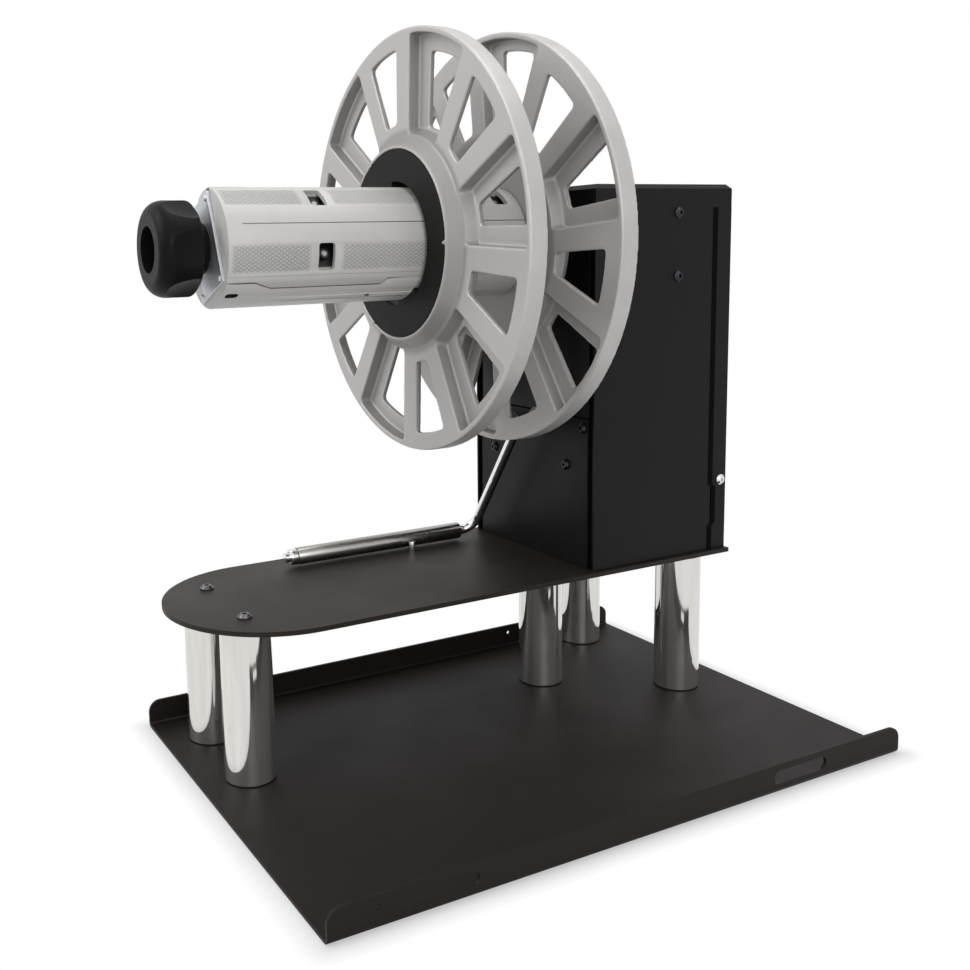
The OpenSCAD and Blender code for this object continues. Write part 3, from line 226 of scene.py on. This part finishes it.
# Sheet metal under a fine matt powder coat with light specks
def powder(name, color, rough, grain=1500, depth=0.00009, spec=0.5):
    speck_cells, speck_r, speck_share, speck_level = 900, 0.12, 0.25, 2.2
    s = Shader(name, color, rough, spec=spec)
    fine = s.noise(grain, rough=0.6)
    wide = s.noise(11, detail=3.0, rough=0.6)
    speck = s.remap(s.cells(speck_cells), 0.0, speck_r, speck_share, 0)
    tone = s.tint(fine, STREAKY, color, 0.8, 1.35)
    s.paint(s.mix(speck, tone, scaled(color, speck_level)))
    s.roughen(wide, CLOUDY, rough - 0.05, rough + 0.06)
    s.bump(fine, depth, 0.5)
    return s.mat


# Polished or satin metal with faint wiping marks, stretched along an axis or even
def metal(name, color, rough, stretch, marks=0.06, depth=0.000004, amount=1.0):
    s = Shader(name, color, rough, metal=amount)
    streak = s.noise(6, detail=3.0, rough=0.6, stretch=stretch)
    smear = s.noise(30)
    s.roughen(smear, SMEARED, rough, rough + marks)
    s.paint(s.tint(streak, STREAKY, color, 0.93, 1.04))
    s.bump(streak, depth, 0.4)
    return s.mat


# Moulded plastic or painted casting with a light orange peel
def moulded(name, color, rough, grain=420, depth=0.00004, spec=0.5):
    s = Shader(name, color, rough, spec=spec)
    peel = s.noise(grain)
    cloud = s.noise(14, detail=3.0, rough=0.6)
    s.paint(s.tint(cloud, CLOUDY, color, 0.94, 1.06))
    s.roughen(peel, CLOUDY, rough - 0.04, rough + 0.05)
    s.bump(peel, depth, 0.35)
    return s.mat


# A point of the hub seen along its axis: how far out on the jaws' line, how far across it, and
# how far along the hub
def hub_axes(s):
    x, y, z = s.xyz()
    dz = s.sub(z, HUB_Z)
    out = s.add(s.mul(x, math.cos(JAW)), s.mul(dz, math.sin(JAW)))
    across = s.sub(s.mul(dz, math.cos(JAW)), s.mul(x, math.sin(JAW)))
    return s.absolute(out), s.absolute(across), s.mul(y, -1.0)


# The jaws and covers: a pale coat, diamond gripping bands, a groove along each jaw's middle and a
# faint crease, both darkened as painted shade, the covers' dark edge with its jog, and painted
# shade, near black, on a slot near the end and on the insides
def hub_skin(name, color, rough):
    band_turn, band_along = (21 * DEG, 46 * DEG, 1.6 * DEG), (0.034, 0.2355, 0.0012)
    bare_middle, bare_rear = (0.1645, 0.1865, 0.0012), (0.033, 0.0545, 0.0012)
    pitch, slant, flat_from, flat_to, knurl_height = 0.0036, 1.5, 0.06, 0.3, 0.6
    groove_turn, groove_along = (-1 * DEG, 0.35 * DEG, 0.15 * DEG), (0.03, 0.228, 0.0002)
    crease_turn, crease_share = (50.2 * DEG, 50.9 * DEG, 0.2 * DEG), 0.25
    seam_out, seam_in, seam_along = 0.01965, 0.01575, (0.126, 0.2365, 0.006)
    jog_rear, jog_front, line_from, line_to = (0.131, 0.135), (0.209, 0.22), 0.0002, 0.0005
    skin_from, skin_to, mouth_from, mouth_to = HUB_R - 0.0042, HUB_R - 0.0032, 0.222, 0.228
    slot_out, slot_along, slot_half, slot_r, slot_top = 0.0104, 0.2325, 0.002, 0.0024, 0.0004

    s = Shader(name, color, rough)
    out, across, along = hub_axes(s)
    off_axis = s.dist(out, across)
    turn = s.math("ARCTAN2", across, out)
    arc = s.mul(turn, HUB_R)

    band = s.mul(s.mul(s.inside(turn, *band_turn), s.inside(along, *band_along)),
                 s.mul(s.inverse(s.inside(along, *bare_middle)),
                       s.inverse(s.inside(along, *bare_rear))))
    one = s.math("DIVIDE", s.add(along, s.mul(arc, slant)), pitch)
    two = s.math("DIVIDE", s.sub(along, s.mul(arc, slant)), pitch)
    ridge = s.least(s.math("PINGPONG", one, 0.5), s.math("PINGPONG", two, 0.5))
    knurl = s.mul(s.fall(ridge, flat_from, flat_to), band)

    groove = s.mul(s.inside(turn, *groove_turn), s.inside(along, *groove_along))
    crease = s.mul(s.inside(turn, *crease_turn), crease_share)
    jog = s.least(s.rise(along, *jog_rear), s.fall(along, *jog_front))
    off_seam = s.absolute(s.sub(out, s.remap(jog, 0, 1, seam_out, seam_in)))
    seam = s.mul(s.fall(off_seam, line_from, line_to), s.inside(along, *seam_along))
    lines = s.most(s.most(groove, crease), seam)
    # Painted shade: the insides past the skin near the hub's mouth, and the walls of the slot
    # near the end
    painted_shade_inside = s.mul(s.fall(off_axis, skin_from, skin_to), s.fall(along, mouth_from, mouth_to))
    past_slot = s.most(s.sub(s.absolute(s.sub(along, slot_along)), slot_half), 0.0)
    slot = s.mul(s.below(s.dist(s.sub(out, slot_out), past_slot), slot_r),
                 s.below(off_axis, HUB_R - slot_top))

    peel = s.noise(500)
    cloud = s.noise(16, detail=3.0, rough=0.6)
    tone = s.tint(cloud, CLOUDY, color, 0.95, 1.05)
    # The lines' coat: the seam is the covers' dark joint, and the groove and crease are darkened
    # as painted shade
    tone = s.coats(tone, color, (band, 0.12, 0.85), (knurl, 0.5, 0.5), (lines, 0.85, 0.12))
    # Painted shade, near black, over the insides and the slot's walls
    s.paint(s.mix(slot, s.mix(painted_shade_inside, tone, PAINTED_SHADE), PAINTED_SHADE))
    s.roughen(peel, CLOUDY, rough - 0.04, rough + 0.06)
    height = s.inverse(s.most(s.mul(knurl, knurl_height), lines))
    s.bump(s.add(height, s.mul(peel, 0.12)), 0.0007, 0.9)
    return s.mat


# The guide screws in the jaws' windows: dark heads with a painted highlight, bright in the middle
def guide_screw_skin(name, color, rough):
    screw_across, screw_rear, screw_front = 0.016, 0.0435, 0.1755
    highlight_from, highlight_to, wander, head_level = 0.0014, 0.0024, 0.0006, 0.12
    s = Shader(name, color, rough, metal=1.0)
    _, across, along = hub_axes(s)
    nearest = s.least(s.absolute(s.sub(along, screw_rear)),
                      s.absolute(s.sub(along, screw_front)))
    off_screw = s.dist(s.sub(across, screw_across), nearest)
    smear = s.noise(400)
    # Painted highlight: a bright spot in the middle of each screw head
    spot = s.fall(s.add(off_screw, s.mul(smear, wander)), highlight_from, highlight_to)
    s.paint(s.mix(spot, scaled(color, head_level), color))
    s.roughen(smear, SMEARED, rough, rough + 0.1)
    return s.mat


# The flanges: painted casting, with painted shade on its pockets' walls and on the boss's slope,
# and black in the outer flange's bore
def flange_skin(name, color, rough, metal_share):
    rim_from, rim_to, wall_from, wall_to = 0.1345, 0.1355, 0.3, 0.85
    boss_start, boss_end = (0.0615, 0.0635), (0.0705, 0.0745)
    bore_r, bore_y, bore_black = 0.0432, -0.088, (0.006, 0.006, 0.006)
    s = Shader(name, color, rough, metal=metal_share)
    x, y, z = s.xyz()
    off_axis = s.dist(x, s.sub(z, HUB_Z))
    peel = s.noise(350)
    cloud = s.noise(30, detail=3.0, rough=0.6)
    in_rim = s.fall(off_axis, rim_from, rim_to)
    painted_wall_shade = s.fall(s.absolute(s.normal_y()), wall_from, wall_to)
    boss = s.mul(s.rise(off_axis, *boss_start), s.fall(off_axis, *boss_end))
    bore = s.mul(s.below(off_axis, bore_r), s.below(y, bore_y))
    tone = s.tint(cloud, CLOUDY, color, 0.92, 1.06)
    # Painted shade: the pockets' walls inside the rim much darker and the boss's slope darker;
    # the faces inside the rim a little darker than the rim
    tone = s.coats(tone, color, (s.mul(s.inverse(painted_wall_shade), in_rim), 1.0, 0.9),
                   (s.mul(painted_wall_shade, in_rim), 0.9, 0.52), (boss, 1.0, 0.58))
    s.paint(s.mix(bore, tone, bore_black))
    s.roughen(peel, CLOUDY, rough - 0.04, rough + 0.05)
    s.bump(peel, 0.00006, 0.35)
    return s.mat


# How a metal's marks are stretched: along y on bars, along z on pillars, or evenly on small parts
ALONG_Y, ALONG_Z = (60, 6, 60), (50, 50, 3)
EVEN, EVEN_FINE = (40, 40, 40), (80, 80, 80)

flange_grey = flange_skin("flange grey", (0.535, 0.515, 0.5), 0.42, metal_share=0.25)
knob_black = moulded("knob black", (0.0056, 0.0051, 0.0051), 0.42, grain=520, spec=0.085)
# Near-black matt strip for the tower's rear seam: painted shade
seam_shade_black = moulded("seam shade strip", (0.002, 0.002, 0.002), 0.8, spec=0.05)

# A look for each of the record's material slots
LOOKS = {
    "tray_powder": powder("tray powder coat", (0.009, 0.0065, 0.0056), 0.52, spec=0.17),
    "tower_powder": powder("tower powder coat", (0.0042, 0.004, 0.0047), 0.45, grain=1800,
                           depth=0.00006, spec=0.16),
    "panel_black": powder("upper panel coat", (0.0036, 0.0034, 0.0036), 0.36, grain=1800,
                          depth=0.00004, spec=0.25),
    "pillar_chrome": metal("pillar chrome", (0.72, 0.705, 0.675), 0.04, ALONG_Z, amount=0.9),
    "rod_chrome": metal("rod chrome", (0.82, 0.82, 0.83), 0.06, ALONG_Y),
    "black_screws": metal("black oxide screws", (0.045, 0.045, 0.05), 0.3, EVEN_FINE),
    "bright_steel": metal("bright zinc steel", (0.72, 0.72, 0.7), 0.22, EVEN),
    "bracket_steel": metal("bracket steel", (0.5, 0.51, 0.53), 0.35, (8, 50, 50)),
    "belt_rubber": moulded("belt rubber", (0.012, 0.012, 0.012), 0.7),
    "board_green": moulded("board lacquer", (0.03, 0.12, 0.06), 0.4),
    "black_plastic": moulded("black plastic", (0.014, 0.014, 0.015), 0.42),
    "bearing_bronze": metal("bronze", (0.62, 0.42, 0.2), 0.3, (40, 6, 40)),
    "flange_grey": flange_grey,
    "disc_black": moulded("disc black", (0.0065, 0.006, 0.0056), 0.5, grain=700,
                          depth=0.00005, spec=0.12),
    "hub_plate_blue": metal("hub end plate", (0.6, 0.615, 0.64), 0.45, (30, 30, 30),
                            depth=0.000008, amount=0.75),
    "hub_steel": metal("hub steel", (0.42, 0.43, 0.45), 0.4, (30, 6, 30)),
    "hub_grey": hub_skin("hub pale coat", (0.585, 0.573, 0.553), 0.36),
    "knob_black": knob_black,
}

# Pieces whose finish differs a little from their slot's
OWN_LOOKS = {
    "deck_plate": powder("deck powder coat", (0.0118, 0.0084, 0.006), 0.5, spec=0.23),
    "knob_nut": knob_black,
    "arm_bush": metal("dull steel", (0.2, 0.2, 0.2), 0.42, (60, 60, 60)),
    "guide_screws": guide_screw_skin("guide screw steel with painted highlight", (0.5, 0.5, 0.5), 0.4),
    "deck_screws": metal("deck screw steel", (0.11, 0.11, 0.115), 0.3, EVEN_FINE),
    "guide_roller": metal("roller satin chrome", (0.4, 0.39, 0.37), 0.2, ALONG_Y, marks=0.12),
}

for part in frame["record"]["subparts"]:
    piece = nodes[part["node"]]
    look = OWN_LOOKS.get(part["node"], LOOKS[part["material_slot"]])
    for spot in piece.material_slots:
        spot.material = look
    if not piece.material_slots:
        piece.data.materials.append(look)

# Softened edges on the pieces that show, so that they catch the light as real ones do. The
# housing, the rear cover and the deck have none: screw holes lie in their flat faces, where a
# bevel's slivers would show as faint lines
EDGES = {
    "outer_flange_disc": 0.0003, "base_tray": 0.0003, "front_cover": 0.0004,
    "front_panel": 0.0003, "top_cap": 0.0004, "hub_jaw_right": 0.0003, "hub_jaw_left": 0.0003,
    "hub_cover_upper": 0.0003, "hub_cover_lower": 0.0003, "hub_front_plate": 0.0004,
    "guide_roller": 0.0002, "roller_collar": 0.0003, "stop_pin": 0.0003, "guide_screws": 0.0003,
}
for name, width in EDGES.items():
    weld = nodes[name].modifiers.new("weld", "WELD")
    weld.merge_threshold = MERGE
    bevel = nodes[name].modifiers.new("edge", "BEVEL")
    bevel.width = width
    bevel.segments = 2
    bevel.limit_method = "ANGLE"
    bevel.angle_limit = 35 * DEG


def off_spindle(co):
    return math.hypot(co.x, co.z - HUB_Z)


def fill(mesh, bm):
    """The mesh with what bm holds, which is then freed."""
    bm.to_mesh(mesh)
    bm.free()
    return mesh


def opened(mesh):
    bm = bmesh.new()
    bm.from_mesh(mesh)
    return bm


def placed(name, mesh):
    piece = bpy.data.objects.new(name, mesh)
    bpy.context.scene.collection.objects.link(piece)
    return piece


def add_piece(name, mesh, look, body):
    mesh.materials.clear()
    mesh.materials.append(look)
    piece = placed(name, mesh)
    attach(piece, body)
    return piece


def baked(piece):
    """The piece's mesh with its modifiers applied."""
    bpy.context.view_layer.update()
    graph = bpy.context.evaluated_depsgraph_get()
    return bpy.data.meshes.new_from_object(piece.evaluated_get(graph))


# The mesh of a casting: its corners' radius, its even grid, the share of faces that is kept and
# the rounds of smoothing outside the disc
CORNER = 0.0026
GRID = 0.0007
FACE_SHARE = 0.08
SOFT_R, SOFT_ROUNDS = 0.0645, 4

# Where the boss's edge meets the pockets' floor, and where the slope's foot goes
BOSS_R, SLOPE_R = 0.07, 0.0732

# Upright edges of windows and pockets: outside this radius, longer and sharper than this
CORNERS_FROM, CORNER_LENGTH, CORNER_ANGLE = 0.065, 0.003, 60 * DEG
UPRIGHT, NEAR = 0.999, 0.0001


def is_corner(edge):
    run = edge.verts[1].co - edge.verts[0].co
    upright = abs(run.y) >= CORNER_LENGTH and abs(run.y) >= UPRIGHT * run.length
    return (upright and off_spindle(edge.verts[0].co) > CORNERS_FROM
            and edge.calc_face_angle() > CORNER_ANGLE)


def smooth(bm, verts):
    bmesh.ops.smooth_vert(bm, verts=verts, factor=0.5, use_axis_x=True, use_axis_y=True,
                          use_axis_z=True)


# A flange as cast: rounded window and pocket corners, a boss that slopes down into the pockets
# on its visible side, and soft edges from a fine even mesh that is smoothed outside the disc
def cast_flange(node, name, body, pocket_y):
    mesh = nodes[node].data.copy()
    bm = opened(mesh)
    bmesh.ops.remove_doubles(bm, verts=bm.verts, dist=MERGE)
    bmesh.ops.dissolve_limit(bm, angle_limit=0.5 * DEG, verts=bm.verts, edges=bm.edges)
    corners = [e for e in bm.edges if is_corner(e)]
    for v in bm.verts:
        r = off_spindle(v.co)
        if abs(r - BOSS_R) < NEAR and abs(v.co.y - pocket_y) < NEAR:
            v.co.x *= SLOPE_R / r
            v.co.z = HUB_Z + (v.co.z - HUB_Z) * SLOPE_R / r
    bmesh.ops.bevel(bm, geom=corners, offset=CORNER, offset_type="OFFSET", segments=4,
                    profile=0.5, affect="EDGES", clamp_overlap=True)
    bmesh.ops.triangulate(bm, faces=bm.faces)

    blank = placed("blank", fill(mesh, bm))
    grid = blank.modifiers.new("grid", "REMESH")
    grid.mode = "VOXEL"
    grid.voxel_size = GRID
    even = baked(blank)
    bm = opened(even)
    smooth(bm, bm.verts)
    outside = [v for v in bm.verts if off_spindle(v.co) > SOFT_R]
    for _ in range(SOFT_ROUNDS):
        smooth(bm, outside)
    blank.modifiers.clear()
    blank.data = fill(even, bm)
    fewer = blank.modifiers.new("fewer", "DECIMATE")
    fewer.ratio = FACE_SHARE
    mesh = baked(blank)
    bpy.data.objects.remove(blank)
    mesh.name = name
    mesh.shade_smooth()
    piece = add_piece(name, mesh, flange_grey, body)
    level = piece.modifiers.new("even shading", "WEIGHTED_NORMAL")
    level.weight = 60
    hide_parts(node)


cast_flange("outer_flange", "outer_flange_casting", "front_flange", pocket_y=-0.0918)
cast_flange("inner_flange", "inner_flange_casting", "hub", pocket_y=-0.0273)


# The three small nubs beside the outer flange's disc
NUB_PLACE, NUB_SIZE, NUB_EDGE = (0.0607, -0.1091, 0), (0.0026, 0.0013, 0.0016), 0.0002


def add_nub(bm, turn):
    verts = bmesh.ops.create_cube(bm, size=1)["verts"]
    for v in verts:
        v.co = v.co * Vector(NUB_SIZE) + Vector(NUB_PLACE)
    bmesh.ops.rotate(bm, verts=verts, cent=(0, 0, 0), matrix=Matrix.Rotation(turn, 3, "Y"))
    edges = list({e for v in verts for e in v.link_edges})
    bmesh.ops.bevel(bm, geom=edges, offset=NUB_EDGE, offset_type="OFFSET", segments=2,
                    profile=0.5, affect="EDGES")


bm = bmesh.new()
for i in range(3):
    add_nub(bm, i * math.tau / 3)
bmesh.ops.translate(bm, verts=bm.verts, vec=(0, 0, HUB_Z))
nubs = fill(bpy.data.meshes.new("flange_nubs"), bm)
add_piece("flange_nubs", nubs, flange_grey, "front_flange")

# The knob's thick neck, by radius and y
NECK = [(0.0158, -0.2502), (0.0154, -0.2455), (0.0154, -0.2422), (0.0152, -0.2416),
        (0.0146, -0.2413)]


def turned(name, profile, look, body):
    """A turned piece on the spindle's axis from (radius, y) points, closed at both ends."""
    steps = 96
    bm = bmesh.new()
    rings = [[bm.verts.new((r * math.cos(math.tau * i / steps), y,
                            HUB_Z + r * math.sin(math.tau * i / steps))) for i in range(steps)]
             for r, y in profile]
    for a, b in zip(rings, rings[1:]):
        for i in range(steps):
            j = (i + 1) % steps
            bm.faces.new((a[i], a[j], b[j], b[i]))
    bm.faces.new(rings[0])
    bm.faces.new(rings[-1])
    bmesh.ops.recalc_face_normals(bm, faces=bm.faces)
    mesh = fill(bpy.data.meshes.new(name), bm)
    mesh.shade_smooth()
    mesh.set_sharp_from_angle(angle=30 * DEG)
    add_piece(name, mesh, look, body)


turned("knob_collar", NECK, knob_black, "clamp_knob")

# A thin near-black strip in the seam between the tower's sides and its rear cover, with the
# seam's
# jog: painted shade standing in for the shade of the recessed seam
SEAM_Y, SEAM_W, SEAM_JOG = 0.1017, 0.004, 0.0029
SIDE_X, STRIP_GAP, STRIP_T = 0.069, 0.00002, 0.0003
DECK_TOP, JOG_LOW, JOG_HIGH, WALL_TOP = 0.103, 0.1206, 0.1503, 0.343
JOG_SLOPE = 0.002


def seam_shade_strip(name, side):
    steps = [(0, DECK_TOP), (0, JOG_LOW), (1, JOG_LOW + JOG_SLOPE), (1, JOG_HIGH - JOG_SLOPE),
             (0, JOG_HIGH), (0, WALL_TOP)]
    bm = bmesh.new()
    rows = []
    for x in (SIDE_X + STRIP_GAP, SIDE_X + STRIP_T):
        front = [bm.verts.new((side * x, SEAM_Y + SEAM_JOG * k, z)) for k, z in steps]
        back = [bm.verts.new((side * x, SEAM_Y + SEAM_W + SEAM_JOG * k, z)) for k, z in steps]
        rows.append((front, back))
    (front0, back0), (front1, back1) = rows
    for i in range(len(steps) - 1):
        bm.faces.new((front0[i], back0[i], back0[i + 1], front0[i + 1]))
        bm.faces.new((front1[i], front1[i + 1], back1[i + 1], back1[i]))
        bm.faces.new((front0[i], front0[i + 1], front1[i + 1], front1[i]))
        bm.faces.new((back0[i], back1[i], back1[i + 1], back0[i + 1]))
    bm.faces.new((front0[0], front1[0], back1[0], back0[0]))
    bm.faces.new((front0[-1], back0[-1], back1[-1], front1[-1]))
    bmesh.ops.recalc_face_normals(bm, faces=bm.faces)
    mesh = fill(bpy.data.meshes.new(name), bm)
    add_piece(name, mesh, seam_shade_black, "frame")


seam_shade_strip("seam_shade_strip_right", 1)
seam_shade_strip("seam_shade_strip_left", -1)


# Camera at the photograph's place: the frame, focal length and centre of view in its pixels,
# and the small turn by which the photograph departs from the plain viewing angle
FRAME_PIXELS, SENSOR = 970, 36
FOCAL, CENTRE_X, CENTRE_Y = 1102.5952, 347.5269, 405.5629
AZIMUTH, ELEVATION = 58 * DEG, 12 * DEG
FINE_TURN = Vector((-0.067, 0.0883, -0.0096))
CAMERA_PLACE = Vector((0.6329, -0.4676, 0.3213))


def add_camera():
    back = Vector((math.sin(AZIMUTH) * math.cos(ELEVATION),
                   -math.cos(AZIMUTH) * math.cos(ELEVATION), math.sin(ELEVATION)))
    right = Vector((math.cos(AZIMUTH), math.sin(AZIMUTH), 0))
    rows = Matrix((right, -back.cross(right), -back))
    rows = Matrix.Rotation(FINE_TURN.length, 3, FINE_TURN.normalized()) @ rows
    stand = Matrix((rows[0], -rows[1], -rows[2])).transposed().to_4x4()
    stand.translation = CAMERA_PLACE
    data = bpy.data.cameras.new("camera")
    data.sensor_width = SENSOR
    data.lens = FOCAL * SENSOR / FRAME_PIXELS
    data.shift_x = (FRAME_PIXELS / 2 - CENTRE_X) / FRAME_PIXELS
    data.shift_y = (CENTRE_Y - FRAME_PIXELS / 2) / FRAME_PIXELS
    data.clip_start = 0.01
    data.clip_end = 50
    camera = placed("camera", data)
    camera.matrix_world = stand
    bpy.context.scene.camera = camera


add_camera()


# Soft studio lights, by place, the point they aim at, width and power
LIGHTS = {
    "key": ((-0.5, -1.7, 1.5), (0.05, -0.1, 0.2), 1.2, 18),
    "fill": ((1.9, -0.6, 0.9), (0.05, 0.0, 0.2), 1.2, 13),
    "top": ((0.1, 0.1, 2.0), (0.05, -0.05, 0.2), 1.4, 12),
}
for name, (place, target, size, power) in LIGHTS.items():
    data = bpy.data.lights.new(name, "AREA")
    data.energy = power
    data.size = size
    lamp = placed(name, data)
    lamp.location = place
    aim = Vector(target) - Vector(place)
    lamp.rotation_euler = aim.to_track_quat("-Z", "Y").to_euler()


# Pale surroundings: the camera, mirrors and glass see plain white, and the object is lit by a
# softer level
SKY, SKY_LEVEL = (0.95, 0.97, 1.0), 0.45
WHITE = (1, 1, 1)


def seen_by_eye(tree):
    """1 for what the camera, a mirror or glass sees, and 0 for what only gives light."""
    path = tree.nodes.new("ShaderNodeLightPath")
    seen = path.outputs["Is Camera Ray"]
    for ray in ("Is Glossy Ray", "Is Transmission Ray"):
        either = tree.nodes.new("ShaderNodeMath")
        either.operation = "MAXIMUM"
        tree.links.new(seen, either.inputs[0])
        tree.links.new(path.outputs[ray], either.inputs[1])
        seen = either.outputs[0]
    return seen


def glow(tree, kind, color, level):
    n = tree.nodes.new(kind)
    n.inputs["Color"].default_value = (*color, 1)
    n.inputs["Strength"].default_value = level
    return n.outputs[0]


def blended(tree, fac, a, b):
    n = tree.nodes.new("ShaderNodeMixShader")
    for value, socket in zip((fac, a, b), n.inputs):
        tree.links.new(value, socket)
    return n.outputs[0]


def make_world():
    world = bpy.data.worlds.new("studio")
    world.use_nodes = True
    bpy.context.scene.world = world
    tree = world.node_tree
    tree.nodes.clear()
    both = blended(tree, seen_by_eye(tree), glow(tree, "ShaderNodeBackground", SKY, SKY_LEVEL),
                   glow(tree, "ShaderNodeBackground", WHITE, 1.0))
    tree.links.new(both, tree.nodes.new("ShaderNodeOutputWorld").inputs["Surface"])


make_world()


# Floor: a round pale sheet that keeps the shadow beside the tray and fades into the surroundings
FLOOR_R, FLOOR_PLACE = 2.4, (0.0659, -0.069, -0.0002)
TRAY_HALF_X, TRAY_HALF_Y = 0.139, 0.199
SHADOW_REACH, SHADOW_FADE = 0.014, 0.45


def make_floor():
    bm = bmesh.new()
    bmesh.ops.create_circle(bm, cap_ends=True, radius=FLOOR_R, segments=96)
    floor = placed("floor", fill(bpy.data.meshes.new("floor"), bm))
    floor.location = FLOOR_PLACE
    s = Shader("floor paper", (0.6, 0.6, 0.6), 0.6, spec=0.2)
    x, y, _ = s.xyz()
    past_tray = s.dist(s.most(s.sub(s.absolute(x), TRAY_HALF_X), 0.0),
                       s.most(s.sub(s.absolute(y), TRAY_HALF_Y), 0.0))
    fade = s.remap(past_tray, 0.0, SHADOW_REACH, SHADOW_FADE, 1)
    white = glow(s.tree, "ShaderNodeEmission", WHITE, 1.0)
    both = blended(s.tree, s.mul(fade, seen_by_eye(s.tree)), s.bsdf.outputs[0], white)
    output = next(n for n in s.tree.nodes if n.type == "OUTPUT_MATERIAL")
    s.link(both, output.inputs["Surface"])
    floor.data.materials.append(s.mat)


make_floor()

bpy.context.scene.view_settings.view_transform = "Standard"
